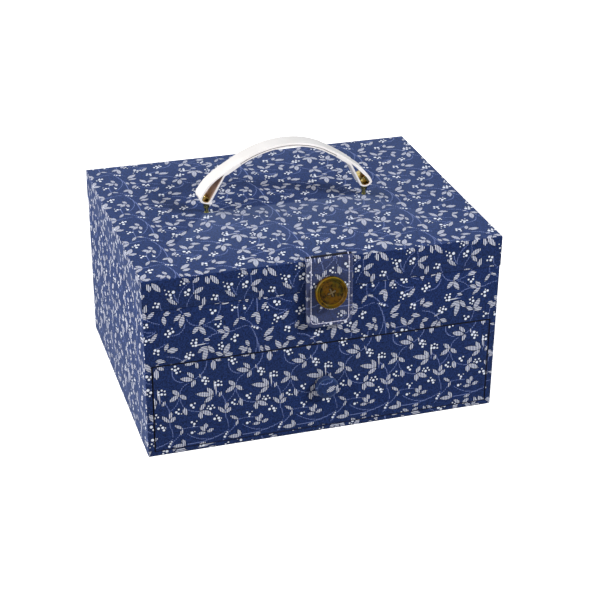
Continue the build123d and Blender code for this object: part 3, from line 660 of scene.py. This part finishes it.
def bake_modifiers(piece):
    # Puts the modifiers' result into the mesh.
    bpy.context.view_layer.update()
    graph = bpy.context.evaluated_depsgraph_get()
    result = bpy.data.meshes.new_from_object(piece.evaluated_get(graph))
    piece.modifiers.clear()
    piece.data = result


# %% [markdown]
# Each covered piece has its own cut of cloth. On the lid's top, the carcass and its sides the cloth
# is turned a quarter, and on the drawer and the lid's rim it is upright. Each entry below gives, for
# the side that a face looks at, how far the cloth is turned, one point of that side, the point of the
# print's tile that lies there, and how much the cloth was stretched when it was glued.

# %% Laying the cloth
SIDES = {"front": (0, -1, 0), "back": (0, 1, 0), "left": (-1, 0, 0), "right": (1, 0, 0),
         "top": (0, 0, 1), "bottom": (0, 0, -1)}
BODY_CUT = {"front": (92.5, (0, -107.5), (17.2, 27.5), 0.99), "left": (90, (0, -70), (35.2, 95.5), 0.97),
            "right": (90, (0, -70), (12, 40), 0.99), "back": (90, (0, -70), (30, 10), 0.99),
            "top": (92.5, (0, 0), (8, 64), 1), "bottom": (90, (0, 0), (0, 0), 1)}
LID_CUT = {"top": (91, (0, 0), (14.5, 90.5), 0.985), "front": (0.5, (0, -145), (11.2, 94.2), 1),
           "left": (0, (0, -145), (39.2, 60), 1), "right": (0, (0, -145), (20, 30), 1),
           "back": (0, (0, -145), (5, 80), 1), "bottom": (0, (0, 0), (0, 0), 1)}
DRAWER_CUT = {side: (1.5, (0, -44), (11.2, 43), 1) for side in SIDES}
TAB_CUT = {side: (0, (0, -132), (24, 63), 0.99) for side in SIDES}
KNOB_CUT = {side: (-60, (0, -43.6), (56.5, 9.5), 1) for side in SIDES}


def side_of(normal):
    # The side that a face looks at.
    return max(SIDES, key=lambda side: normal.dot(Vector(SIDES[side])))


def flat_point(side, place):
    # A point of the piece as seen straight on from that side: across and down, in mm.
    x, y, z = place / MM
    return {"front": (x, -z), "back": (-x, -z), "left": (-y, -z), "right": (y, -z),
            "top": (x, -y), "bottom": (x, y)}[side]


def lay_cloth(piece, cut):
    # Cloth coordinates, in metres, for every face.
    layer = piece.data.uv_layers.new(name="cloth")
    for face in piece.data.polygons:
        side = side_of(face.normal)
        turn, centre, cloth_centre, stretch = cut[side]
        c, s = math.cos(math.radians(turn)) * stretch, math.sin(math.radians(turn)) * stretch
        for corner in face.loop_indices:
            place = piece.data.vertices[piece.data.loops[corner].vertex_index].co
            across, down = flat_point(side, place)
            across, down = across - centre[0], down - centre[1]
            layer.data[corner].uv = (
                (across * c - down * s + cloth_centre[0]) * MM,
                (across * s + down * c + cloth_centre[1]) * MM,
            )


def dress(piece, material, body=None, cut=None):
    # Gives a new piece its cloth coordinates, its material and, where it has just one, its body.
    if cut:
        lay_cloth(piece, cut)
    paint(piece, material)
    if body:
        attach(piece, body)
    print(piece.name, len(piece.data.polygons), "faces")
    return piece


# %% Covers of the carcass, lid and drawer
covers = {}
for node, name, body, cut in (("body_cover_cloth", "carcass_cover", "carcass", BODY_CUT),
                              ("lid_cover_cloth", "lid_cover", "lid", LID_CUT),
                              ("drawer_front_cover", "drawer_cover", "drawer", DRAWER_CUT)):
    covers[body] = dress(soft_copy(node, name, 0.25 * MM), PRINT_CLOTH, body, cut)

# %% [markdown]
# The narrow edges that the cloth turns over at a seam see almost no light, and the print on them would
# break up the seam's dark line. They take a painted shade instead: a plain cloth without the print, far
# darker than the print's ground.

# %% Turned edges at the seams, in painted shade
# Painted shade: this very dark plain cloth stands for the shade inside the seams.
SEAM_SHADE_NAVY = plain_cloth("painted shade of the turned edges", srgb(2, 4, 16), srgb(5, 9, 26), sheen=0.0)


def paint_seam_shade(piece, is_edge):
    # Gives the faces inside a seam the painted shade, a plain cloth far darker than the print's ground.
    piece.data.materials.append(SEAM_SHADE_NAVY)
    turned = [face for face in piece.data.polygons if is_edge(face.center / MM, face.normal)]
    for face in turned:
        face.material_index = 1
    print(len(turned), "faces turned in on", piece.name)


def at_carcass_edge(at, n):
    # The carcass's upper edge, and the edges round the drawer's opening.
    in_opening = at.y < -115 and abs(at.x) < 144.8 and 4 < at.z < 83.8 and n.y > -0.85
    return in_opening or at.z > 131.2 and n.z > 0.5


paint_seam_shade(covers["carcass"], at_carcass_edge)
paint_seam_shade(covers["lid"], lambda at, n: at.z < 132.6 and n.z < -0.5)
paint_seam_shade(covers["drawer"], lambda at, n: n.y > -0.95)

# %% [markdown]
# ## Hinge cloth
# A strip of the same cotton is glued over the seam at the back, half on the lid and half on the
# carcass, and it is the hinge. The frame has it in two halves, because a solid belongs to one body.
# Here it is one sheet. A narrower strip of lining does the same inside.

# %% Hinge strips
NEAR_SEAM = [130.4, 131.2, 131.7, 132, 132.3, 132.8, 133.6]     # heights where the strips bend
STRIP_COLUMNS = 60
STRIP_THICKNESS = 0.4


def outward(piece):
    # Turns all faces outwards.
    work = bmesh.new()
    work.from_mesh(piece.data)
    bmesh.ops.recalc_face_normals(work, faces=work.faces)
    work.to_mesh(piece.data)
    work.free()


def slab(name, near, far):
    # A closed sheet between two grids of points, each a list of rows.
    rows, columns = len(near), len(near[0])
    layer = rows * columns
    faces = []
    for row in range(rows - 1):
        for a in range(row * columns, (row + 1) * columns - 1):
            b = a + layer
            faces.append((a, a + 1, a + columns + 1, a + columns))
            faces.append((b, b + columns, b + columns + 1, b + 1))
    border = [*range(columns - 1), *range(columns - 1, layer - 1, columns),
              *range(layer - 1, layer - columns, -1), *range(layer - columns, 0, -columns)]
    faces += [(a, a + layer, b + layer, b) for a, b in zip(border, border[1:] + border[:1])]
    piece = new_mesh(name, [point for grid in (near, far) for row in grid for point in row], [], faces)
    outward(piece)
    return piece


def hinge(name, half_width, y, heights):
    # An upright strip across the back, with a row of points at each height. All in mm.
    def grid(y):
        return [[(half_width * (2 * n / STRIP_COLUMNS - 1) * MM, y * MM, z * MM)
                 for n in range(STRIP_COLUMNS + 1)] for z in heights]

    piece = slab(name, grid(y), grid(y + STRIP_THICKNESS))
    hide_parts(name + "_lower", name + "_upper")
    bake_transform(piece)
    return piece


outside = hinge("hinge_cloth", 145.5, 116.5,
                [113.8, 118, 122, 126, 129, *NEAR_SEAM, 135, 138, 142, 146, 150.2])
inside = hinge("hinge_lining", 140.5, 111.1,
               [120.8, 124, 126.4, 128, 129.4, *NEAR_SEAM, 134.6, 136, 137.6, 140, 143.2])
dress(outside, PRINT_CLOTH, cut=LID_CUT)
dress(inside, LINING_CLOTH)

# %% [markdown]
# ## Handle
# The strap is two layers of coated leather, bent in an arch. Each end is folded round a flat brass
# sleeve and glued back under the arch, so a loop is left open in front of the sleeve. The solids have
# these forms already, and need the softly rounded edges of cut leather. Leather that has been carried
# isn't bent evenly, though: this strap sags on its right flank, and its left loop leans outwards. Both
# are small smooth shifts of the points, which leave the lugs on their pins.

# %% Uneven bend of the strap
PIVOT_Z = 167.1
ARCH_Z = 130.55               # height of the arch's centre
SAG = [(-60, 0.0), (-46, 1.5), (-34, 1.5), (-10, 1.2), (8, 1.2), (18, 1.4), (28, 2.0), (37, 3.1),
       (46, 3.6), (56, 3.3), (66, 3.2), (80, 3.2)]
LOOP = (68.06, 174.1)         # X and Z of a loop's centre
LOOP_ANGLE = 57.5             # where the loops begin, in degrees from the arch's top
LOOP_SIN, LOOP_COS = math.sin(math.radians(LOOP_ANGLE)), math.cos(math.radians(LOOP_ANGLE))


def step(value, low, high):
    # A smooth step from 0 to 1. It runs down where low is the larger.
    share = min(max((value - low) / (high - low), 0.0), 1.0)
    return share * share * (3 - 2 * share)


def sag(x):
    # How far the strap hangs lower at a distance from its middle, in mm.
    if x <= SAG[0][0]:
        return 0.0
    for (x0, d0), (x1, d1) in zip(SAG, SAG[1:]):
        if x <= x1:
            return d0 + (d1 - d0) * step(x, x0, x1)
    return SAG[-1][1]


def worn(piece):
    # Shifts the points of a piece of the handle as the worn strap bends.
    for vertex in piece.data.vertices:
        x, _, z = vertex.co / MM
        free = step(z, PIVOT_Z + 1.2, PIVOT_Z + (4.5 if x < 0 else 10))
        vertex.co.z -= sag(x) * free * MM
        if x < 0:
            vertex.co.x -= 3.5 * step(z, 199, 184) * free * MM
        else:
            through = (x - LOOP[0]) * LOOP_SIN + (z - LOOP[1]) * LOOP_COS
            vertex.co.x += 1.8 * step(through, 2.5, 4.0) * step(z, 172, 179) * step(z, 200, 186) * MM


def fill_loop(piece, side, thicker, shorter):
    # Makes a sleeve fill the width of its loop, and gives it another height over its lower end.
    for vertex in piece.data.vertices:
        x, _, z = vertex.co / MM
        free = step(z, PIVOT_Z + 1.2, PIVOT_Z + 4.0)
        dx, dz = x * side - LOOP[0], z - LOOP[1]
        through = dx * LOOP_SIN + dz * LOOP_COS
        along = dz * LOOP_SIN - dx * LOOP_COS
        more = through * (thicker - 1) * free
        up = (along + 3) * (shorter - 1) * free
        vertex.co.x += side * (more * LOOP_SIN - up * LOOP_COS) * MM
        vertex.co.z += (more * LOOP_COS + up * LOOP_SIN) * MM


def leather_sides(piece, meeting):
    # Cut edges take a leather painted lighter than the face as painted light, the seam between the layers a
    # dark painted shade, and the flesh side in the loops its own leather.
    # A face farther out than the meeting radius, in mm, belongs to the outer layer.
    paint(piece, LEATHER, LEATHER_EDGE_LIT, LEATHER_INSIDE, LEATHER_SEAM_SHADE)
    lit_cut_edge, flesh, seam = 1, 2, 3
    for face in piece.data.polygons:
        x, _, z = face.center / MM
        out = Vector((x, 0, z - ARCH_Z))
        radial = face.normal.dot(out.normalized())
        angle = math.degrees(math.atan2(abs(x), z - ARCH_Z))
        to_loop = Vector((math.copysign(LOOP[0], x) - x, 0, LOOP[1] - z)).normalized()
        meets = -radial if out.length > meeting else radial
        # faces where the layers meet take the painted shade
        if angle < LOOP_ANGLE and meets > 0.15 and abs(face.normal.y) > 0.1:
            face.material_index = seam
        elif abs(face.normal.y) > 0.5:
            face.material_index = lit_cut_edge
        elif angle > LOOP_ANGLE and face.normal.dot(to_loop) > 0.3:
            face.material_index = flesh
        elif 41 < angle <= LOOP_ANGLE and meets > 0.5:
            face.material_index = flesh


# %% Strap and brass
strap = soft_copy("handle_strap", "strap", 0.35 * MM, 3)
backing = soft_copy("handle_backing", "strap_backing", 0.5 * MM, 3)
left_sleeve = soft_copy("left_strap_sleeve", "left_sleeve", 0.18 * MM)
right_sleeve = soft_copy("right_strap_sleeve", "right_sleeve", 0.18 * MM)
for piece, meeting in ((strap, 84.1), (backing, 90)):
    dress(piece, LEATHER, "handle")
    leather_sides(piece, meeting)
fill_loop(left_sleeve, -1, 1.3, 0.5)
fill_loop(right_sleeve, 1, 1.4, 1.15)
for piece in (strap, backing, left_sleeve, right_sleeve):
    worn(piece)
for piece in (left_sleeve, right_sleeve):
    dress(piece, BRASS, "handle")
for node, name in (("left_handle_post", "left_post"), ("right_handle_post", "right_post")):
    dress(soft_copy(node, name, 0.18 * MM), OLIVE_BRASS, "lid")

# %% [markdown]
# ## Closing tab
# The tab is a strip of card in a stitched cover. The machine stitch that holds the turned edge pulls the
# cover in along both sides and the lower end, so the face swells a little inside the stitch and again
# towards the edge. It is made of rings: the tab's outline, drawn in step by step, each ring at its own
# height. Over the lid's edge the cover goes on as a soft strip, and its end lies on the lid's top.

# %% Tab outline and rings
TAB_ASIDE = 0.8               # the strip was sewn on a little to the right
TAB_TOP = Vector((TAB_ASIDE, -117.1, 157.2))      # middle of the tab's top end, at its back
TAB_TILT = math.radians(2.0)
TAB_WIDTH = 38.5
TAB_LENGTH = 56.2
TAB_CORNER = 7.0
STITCH_INSET = 3.5
tab_down = Vector((0, -math.sin(TAB_TILT), -math.cos(TAB_TILT)))
tab_out = Vector((0, -math.cos(TAB_TILT), math.sin(TAB_TILT)))
SIDE_POINTS, CORNER_POINTS, END_POINTS = 18, 9, 14
HIGHLIGHT_BAND_WIDTH = 3.4              # the painted highlight is stronger on the cloth outside the stitch


def tab_place(across, down, out):
    # A point of the tab, in metres, from mm across it, down it and out from its back.
    return (TAB_TOP + Vector((across, 0, 0)) + tab_down * down + tab_out * out) * MM


def tab_ring(inset, top):
    # The tab's outline drawn in: across and down, in mm, from the top left corner round.
    half, low = TAB_WIDTH / 2 - inset, TAB_LENGTH - inset
    radius = max(TAB_CORNER - inset, 0.2)
    straight = low - radius - top
    turns = [math.radians(90 * n / CORNER_POINTS) for n in range(CORNER_POINTS)]
    corner = [(radius * math.cos(turn), radius * math.sin(turn)) for turn in turns]
    ring = [(-half, top + straight * n / SIDE_POINTS) for n in range(SIDE_POINTS)]
    ring += [(-half + radius - c, low - radius + s) for c, s in corner]
    ring += [(-half + radius + 2 * (half - radius) * n / END_POINTS, low) for n in range(END_POINTS)]
    ring += [(half - radius + s, low - radius + c) for c, s in corner]
    ring += [(half, low - radius - straight * n / SIDE_POINTS) for n in range(SIDE_POINTS)]
    ring += [(half - 2 * half * n / END_POINTS, top) for n in range(END_POINTS)]
    return ring


def ringed_solid(name, rings):
    # A closed solid from rings with equal numbers of points, with a face over its first and last ring.
    count = len(rings[0])
    last = (len(rings) - 1) * count
    faces = [tuple(range(count))[::-1], tuple(range(last, last + count))]
    for low in range(0, last, count):
        for n in range(count):
            after = (n + 1) % count
            faces.append((low + n, low + after, low + count + after, low + count + n))
    piece = new_mesh(name, [point for ring in rings for point in ring], [], faces)
    outward(piece)
    return piece


def mark_highlight_band(piece, in_highlight_band):
    # Marks the points, by their number, where the painted highlight is stronger.
    highlight_band = piece.data.attributes.new("highlight_band", "FLOAT", "POINT")
    for index, entry in enumerate(highlight_band.data):
        entry.value = 1.0 if in_highlight_band(index) else 0.0


# Each ring: how far in, and how far out from the tab's back.
TAB_RINGS = [(8, 3.6), (6, 3.6), (5, 3.58), (4.3, 3.5), (3.9, 3.36), (3.5, 3.2), (3.1, 3.34),
             (2.6, 3.46), (1.8, 3.5), (1.0, 3.42), (0.5, 3.24), (0.15, 2.9), (0, 2.4), (0, 0.8)]
TAB_INSIDE = [(1, 0.8), (1, 2.6)]     # and the rings that go round inside the cover
rings = [[tab_place(*point, out) for point in tab_ring(inset, 0)] for inset, out in TAB_RINGS]
rings += [[tab_place(*point, out) for point in tab_ring(inset, inset)] for inset, out in TAB_INSIDE]
tab_cover = ringed_solid("tab_cover", rings)
ring_insets = [inset for inset, _ in TAB_RINGS + TAB_INSIDE]
mark_highlight_band(tab_cover, lambda n: ring_insets[n // len(rings[0])] < HIGHLIGHT_BAND_WIDTH)
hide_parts("tab_front_cover")
smooth(tab_cover, 60)
dress(tab_cover, TAB_CLOTH, "closure_tab", TAB_CUT)
tab_back = soft_copy("tab_back_lining", "tab_back", 0.25 * MM)
dress(tab_back, TAB_CLOTH, "closure_tab", TAB_CUT)
for vertex in tab_back.data.vertices:
    vertex.co.x += TAB_ASIDE * MM

# %% Bend of the tab over the lid's edge
# Each station: Y and Z in mm of the strip's underside, then of its outer face, from the lid's top
# forward and down to the tab.
BEND = [(-112.6, 158.5, -112.3, 158.55), (-113.2, 158.5, -112.8, 159.6),
        (-114.0, 158.5, -113.6, 160.7), (-114.8, 158.5, -114.7, 161.6), (-115.6, 158.5, -116.0, 162.0),
        (-116.0, 158.5, -116.8, 162.05), (-116.3, 158.5, -117.6, 161.95),
        (-116.6, 158.45, -118.5, 161.5), (-116.9, 158.3, -119.5, 160.7), (-117.05, 158.0, -120.2, 159.6),
        (-117.1, 157.6, -120.6, 158.4), (-117.1, 157.2, -120.66, 157.3), (-117.12, 156.7, -120.67, 156.7)]
TAB_THICKNESS = 3.6


def bend_place(station, across, out):
    # A point of the bend, in metres.
    y, z, outer_y, outer_z = BEND[station]
    share = out / TAB_THICKNESS
    return Vector((across + TAB_ASIDE, y + (outer_y - y) * share, z + (outer_z - z) * share)) * MM


half_profile = [(TAB_WIDTH / 2 - inset, out) for inset, out in TAB_RINGS[-2::-1]]
profile = [(-across, out) for across, out in half_profile] + half_profile[::-1]
profile += [(TAB_WIDTH / 2, 0), (-TAB_WIDTH / 2, 0)]
tab_bend = ringed_solid("tab_bend", [
    [bend_place(station, across, out) for across, out in profile] for station in range(len(BEND))
])
smooth(tab_bend, 60)
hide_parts("tab_root")

bend_length = [0.0]
for station in range(len(BEND) - 1, 0, -1):
    gap = bend_place(station, 0, TAB_THICKNESS) - bend_place(station - 1, 0, TAB_THICKNESS)
    bend_length.insert(0, bend_length[0] + Vector((gap.y, gap.z)).length / MM)
layer = tab_bend.data.uv_layers.new(name="cloth")
_, centre, cloth_centre, stretch = TAB_CUT["front"]
for loop in tab_bend.data.loops:
    station, place = divmod(loop.vertex_index, len(profile))
    up = bend_length[station] + BEND[-1][1] + centre[1]
    layer.data[loop.index].uv = ((profile[place][0] * stretch + cloth_centre[0]) * MM,
                                 (cloth_centre[1] - up * stretch) * MM)
mark_highlight_band(tab_bend, lambda n: abs(profile[n % len(profile)][0]) > TAB_WIDTH / 2 - HIGHLIGHT_BAND_WIDTH)
paint(tab_bend, TAB_CLOTH, SEAM_SHADE_NAVY)
for face in tab_bend.data.polygons:
    # the crest's top and its back over the lid take the painted seam shade, as a painted shadow line
    if face.center.y > -118.3 * MM and face.center.z > 161.2 * MM:
        face.material_index = 1
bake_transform(tab_bend)
print("bend", round(bend_length[0], 2), "mm long")

# %% [markdown]
# ## Machine stitch
# The stitch is one short thick thread after another along a line. Geometry Nodes lay them: the line
# is cut into equal lengths, and each point of it takes one stitch that is turned to the line's
# direction. Changing the pitch then means changing one input.

# %% Stitch tree


def stitch_tree():
    tree = bpy.data.node_groups.new("machine stitch", "GeometryNodeTree")
    identifiers = {}
    for label, kind in (("Line", "Geometry"), ("Pitch", "Float"), ("Length", "Float"),
                        ("Thickness", "Float"), ("Thread", "Material")):
        socket = tree.interface.new_socket(label, in_out="INPUT", socket_type="NodeSocket" + kind)
        identifiers[label] = socket.identifier
    tree.interface.new_socket("Stitches", in_out="OUTPUT", socket_type="NodeSocketGeometry")
    entry = tree.nodes.new("NodeGroupInput").outputs
    line = add(tree, "GeometryNodeMeshToCurve", Mesh=entry["Line"]).outputs["Curve"]
    cut = add(tree, "GeometryNodeResampleCurve", mode="LENGTH", Curve=line, Length=entry["Pitch"])
    ball = add(tree, "GeometryNodeMeshUVSphere", Segments=8, Rings=8, Radius=0.5).outputs["Mesh"]
    size = add(tree, "ShaderNodeCombineXYZ", X=entry["Length"], Y=entry["Thickness"], Z=entry["Thickness"])
    shaped = add(tree, "GeometryNodeTransform", Geometry=ball, Scale=size.outputs["Vector"])
    tangent = tree.nodes.new("GeometryNodeInputTangent").outputs["Tangent"]
    turned = add(tree, "FunctionNodeAlignRotationToVector", axis="X", Vector=tangent)
    laid = add(tree, "GeometryNodeInstanceOnPoints", Points=cut.outputs["Curve"],
               Instance=shaped.outputs["Geometry"], Rotation=turned.outputs["Rotation"])
    real = add(tree, "GeometryNodeRealizeInstances", Geometry=laid.outputs["Instances"])
    sewn = add(tree, "GeometryNodeSetMaterial", Geometry=real.outputs["Geometry"], Material=entry["Thread"])
    add(tree, "NodeGroupOutput", Stitches=sewn.outputs["Geometry"])
    return tree, identifiers


STITCHES, STITCH_INPUTS = stitch_tree()

# %% Stitch on the tab
STITCH = {"Pitch": 2.6 * MM, "Length": 2.9 * MM, "Thickness": 0.8 * MM, "Thread": STITCH_THREAD}
STITCH_OUT = 3.3              # height of the stitch over the tab's back, in mm


def stitched(name, line):
    # A row of stitches along a line of points.
    piece = new_mesh(name, line, [(n, n + 1) for n in range(len(line) - 1)], [])
    sewing = piece.modifiers.new("stitches", "NODES")
    sewing.node_group = STITCHES
    for label, value in STITCH.items():
        sewing[STITCH_INPUTS[label]] = value
    bake_modifiers(piece)
    smooth(piece)
    return piece


def root_line(across, stations):
    return [bend_place(station, across, STITCH_OUT) for station in stations]


stitch_across = TAB_WIDTH / 2 - STITCH_INSET
around = tab_ring(STITCH_INSET, 0.8)[:2 * (SIDE_POINTS + CORNER_POINTS) + END_POINTS + 1]
tab_stitch = stitched("tab_stitch", root_line(-stitch_across, (9, 10, 11))
                      + [tab_place(*point, STITCH_OUT) for point in around]
                      + root_line(stitch_across, (11, 10, 9)))
dress(tab_stitch, STITCH_THREAD, "closure_tab")
for name, across in (("left_root_stitch", -stitch_across), ("right_root_stitch", stitch_across)):
    root_stitch = dress(stitched(name, root_line(across, (6, 7, 8, 9))), STITCH_THREAD)
    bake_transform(root_stitch)

# %% [markdown]
# ## Button
# The button is turned resin with a raised rim, a dished face, a fine turned line and four holes, all
# of which the solid has. Its edges are eased, and the thread through its holes is rounded.

# %% Button and thread
for node, name, width, material, slot in (
        ("button", "resin_button", 0.12 * MM, RESIN, "button_resin"),
        ("button_thread", "button_stitches", 0.3 * MM, BUTTON_THREAD, "sewing_thread")):
    piece = dress(soft_copy(node, name, width), material, "closure_tab")
    for vertex in piece.data.vertices:
        vertex.co += BUTTON_SHIFT

# %% [markdown]
# ## Drawer knob
# The knob is a covered button: a disc of the print is drawn over a shell with a bevelled rim and
# gathered behind it. A lathe shape fits it, and shallow folds round its side show where the cloth was
# gathered.

# %% Knob
KNOB_Z = 43.575
KNOB_FRONT_Y = -116.0
KNOB_POINTS = 96
KNOB_FOLDS = 24
# Each ring: radius, height, depth of the folds. The last ones go round inside the cloth.
KNOB_PROFILE = [
    (0.3, 9.0, 0), (3, 9.0, 0), (5.2, 8.97, 0), (6.0, 8.88, 0), (6.5, 8.68, 0), (7.1, 8.3, 0),
    (8.3, 7.42, 0), (8.9, 6.95, 0), (9.25, 6.55, 0), (9.44, 6.0, 0), (9.48, 5.2, 0.01),
    (9.46, 4.2, 0.04), (9.42, 3.2, 0.07), (9.38, 2.3, 0.1), (9.2, 1.65, 0.1), (8.9, 1.4, 0),
    (8.9, 2.4, 0), (8.8, 5.8, 0), (6.1, 8.3, 0), (0.3, 8.4, 0),
]


def knob_ring(radius, height, folds):
    # A ring round the knob's axis at its height over the drawer front, in mm.
    ring = []
    for n in range(KNOB_POINTS):
        turn = math.tau * n / KNOB_POINTS
        wide = radius + folds * math.cos(turn * KNOB_FOLDS)
        place = (wide * math.cos(turn), KNOB_FRONT_Y - height, KNOB_Z + wide * math.sin(turn))
        ring.append(Vector(place) * MM)
    return ring


def on_knob_rim(index):
    radius, height, _ = KNOB_PROFILE[index // KNOB_POINTS]
    return radius > 8.5 and height > 6.2


knob_cover = ringed_solid("knob_cloth", [knob_ring(*entry) for entry in KNOB_PROFILE])
smooth(knob_cover)
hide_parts("knob_cover")
dress(knob_cover, KNOB_CLOTH, "drawer", KNOB_CUT)
# The knob's rim takes the stronger painted highlight.
mark_highlight_band(knob_cover, on_knob_rim)

# %% [markdown]
# ## Padded lid lining and tray pulls
# Under the lid is a panel of card with thin wadding under the lining cloth: flat in the middle, and
# drawn in towards its edges where the cloth is turned. Each end of the tray has a loop of ribbon.

# %% Lid lining


def spread(count, start, end):
    # Numbers from start to end that stand closer together near both.
    return [start + (end - start) * (0.5 - 0.5 * math.cos(math.pi * n / count)) for n in range(count + 1)]


def padded_panel(name, low, high, edge_thickness, roll):
    # A panel against the lid's board: flat above, and crowned below. All in mm.
    near, far = [], []
    for y in spread(56, low[1], high[1]):
        near.append([])
        far.append([])
        for x in spread(72, low[0], high[0]):
            edge = min(x - low[0], high[0] - x, y - low[1], high[1] - y)
            rise = math.sin(min(edge / roll, 1.0) * math.pi / 2) ** 0.7
            full = edge_thickness + (high[2] - low[2] - edge_thickness) * rise
            near[-1].append((x * MM, y * MM, high[2] * MM))
            far[-1].append((x * MM, y * MM, (high[2] - full) * MM))
    piece = slab(name, near, far)
    smooth(piece, 50)
    return piece


lid_pad = padded_panel("lid_pad", (-144.5, -111.0, 148.9), (144.5, 110.6, 153.5), 1.6, 12)
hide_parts("lid_lining_panel")
dress(lid_pad, LINING_CLOTH, "lid")

# %% Tray pulls


def ribbon_loop(name, side):
    # One ribbon, folded double over the tray's end wall, with a loop that stands above it. In mm.
    wall_x, glued_z, top_z, middle_y = 141.8, 121.3, 137.3, 0.05
    half_gap, thickness, half_width = 0.25, 0.3, 6.0
    path = [(-half_gap, glued_z), (-half_gap, 128), (-half_gap - 0.1, 131)]
    for n in range(13):
        turn = math.pi * n / 12
        path.append((-0.9 * math.cos(turn), top_z - 1.4 + 1.2 * math.sin(turn)))
    path += [(half_gap + 0.1, 131), (half_gap, 128), (half_gap, glued_z)]
    centre_x = side * (wall_x - 0.95)
    edges = ((1, -half_width), (1, half_width), (-1, half_width), (-1, -half_width))
    rings = []
    for n, (x, z) in enumerate(path):
        before = Vector(path[max(n - 1, 0)])
        after = Vector(path[min(n + 1, len(path) - 1)])
        along = (after - before).normalized()
        aside = Vector((-along.y, along.x)) * thickness / 2
        rings.append([Vector((centre_x + x + face * aside.x, middle_y + y, z + face * aside.y)) * MM
                      for face, y in edges])
    piece = ringed_solid(name, rings)
    smooth(piece, 50)
    return piece


for side, end in ((-1, "left"), (1, "right")):
    pull = ribbon_loop(end + "_pull", side)
    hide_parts("tray_pulls")
    dress(pull, RIBBON, "tray")

# %% [markdown]
# ## Floor, background and light
# The photograph is a cut-out on white. A large pale floor runs into a white world, and both are seen
# as pure white by the camera. Light comes from a big soft lamp on the left, and a small one at the
# front right fills the shadows.

# %% Floor and light
WHITE = (1.0, 1.0, 1.0, 1.0)
FLOOR_HALF = 6.0              # half the floor's width, in metres


def floor():
    points = [(x * FLOOR_HALF, y * FLOOR_HALF, 0) for x, y in ((-1, -1), (1, -1), (1, 1), (-1, 1))]
    piece = new_mesh("floor", points, [], [(0, 1, 2, 3)])
    material, tree, shader = new_material(
        "pale floor", Roughness=0.9, Specular_IOR_Level=0.0, Base_Color=(0.5, 0.5, 0.5, 1),
        Emission_Color=WHITE,
    )
    path = tree.nodes.new("ShaderNodeLightPath")
    connect(tree, path.outputs["Is Camera Ray"], shader["Emission Strength"])
    paint(piece, material)


def world():
    scene_world = bpy.data.worlds.new("studio")
    scene_world.use_nodes = True
    tree = scene_world.node_tree
    background = tree.nodes["Background"]
    path = tree.nodes.new("ShaderNodeLightPath")
    seen = calc(tree, "MAXIMUM", path.outputs["Is Camera Ray"], path.outputs["Is Glossy Ray"])
    seen = calc(tree, "MAXIMUM", seen, path.outputs["Is Transmission Ray"])
    background.inputs["Color"].default_value = WHITE
    connect(tree, ramp(tree, seen, 0, 1, 0.2, 1.0), background.inputs["Strength"])
    bpy.context.scene.world = scene_world


def lamp(name, place, target, size, power, colour=(1, 1, 1)):
    data = bpy.data.lights.new(name, "AREA")
    data.shape = "SQUARE"
    data.size = size
    data.energy = power
    data.color = colour
    lit = new_object(name, data)
    way = Vector(target) - Vector(place)
    lit.matrix_world = Matrix.Translation(place) @ way.to_track_quat("-Z", "Y").to_matrix().to_4x4()


floor()
world()
lamp("key", (-1.7, 0.1, 1.1), (0, 0, 0.1), 2.4, 88, (1.0, 0.96, 0.92))
lamp("fill", (1.25, -1.1, 1.2), (0, 0, 0.08), 0.4, 35)
bpy.context.scene.view_settings.view_transform = "Standard"
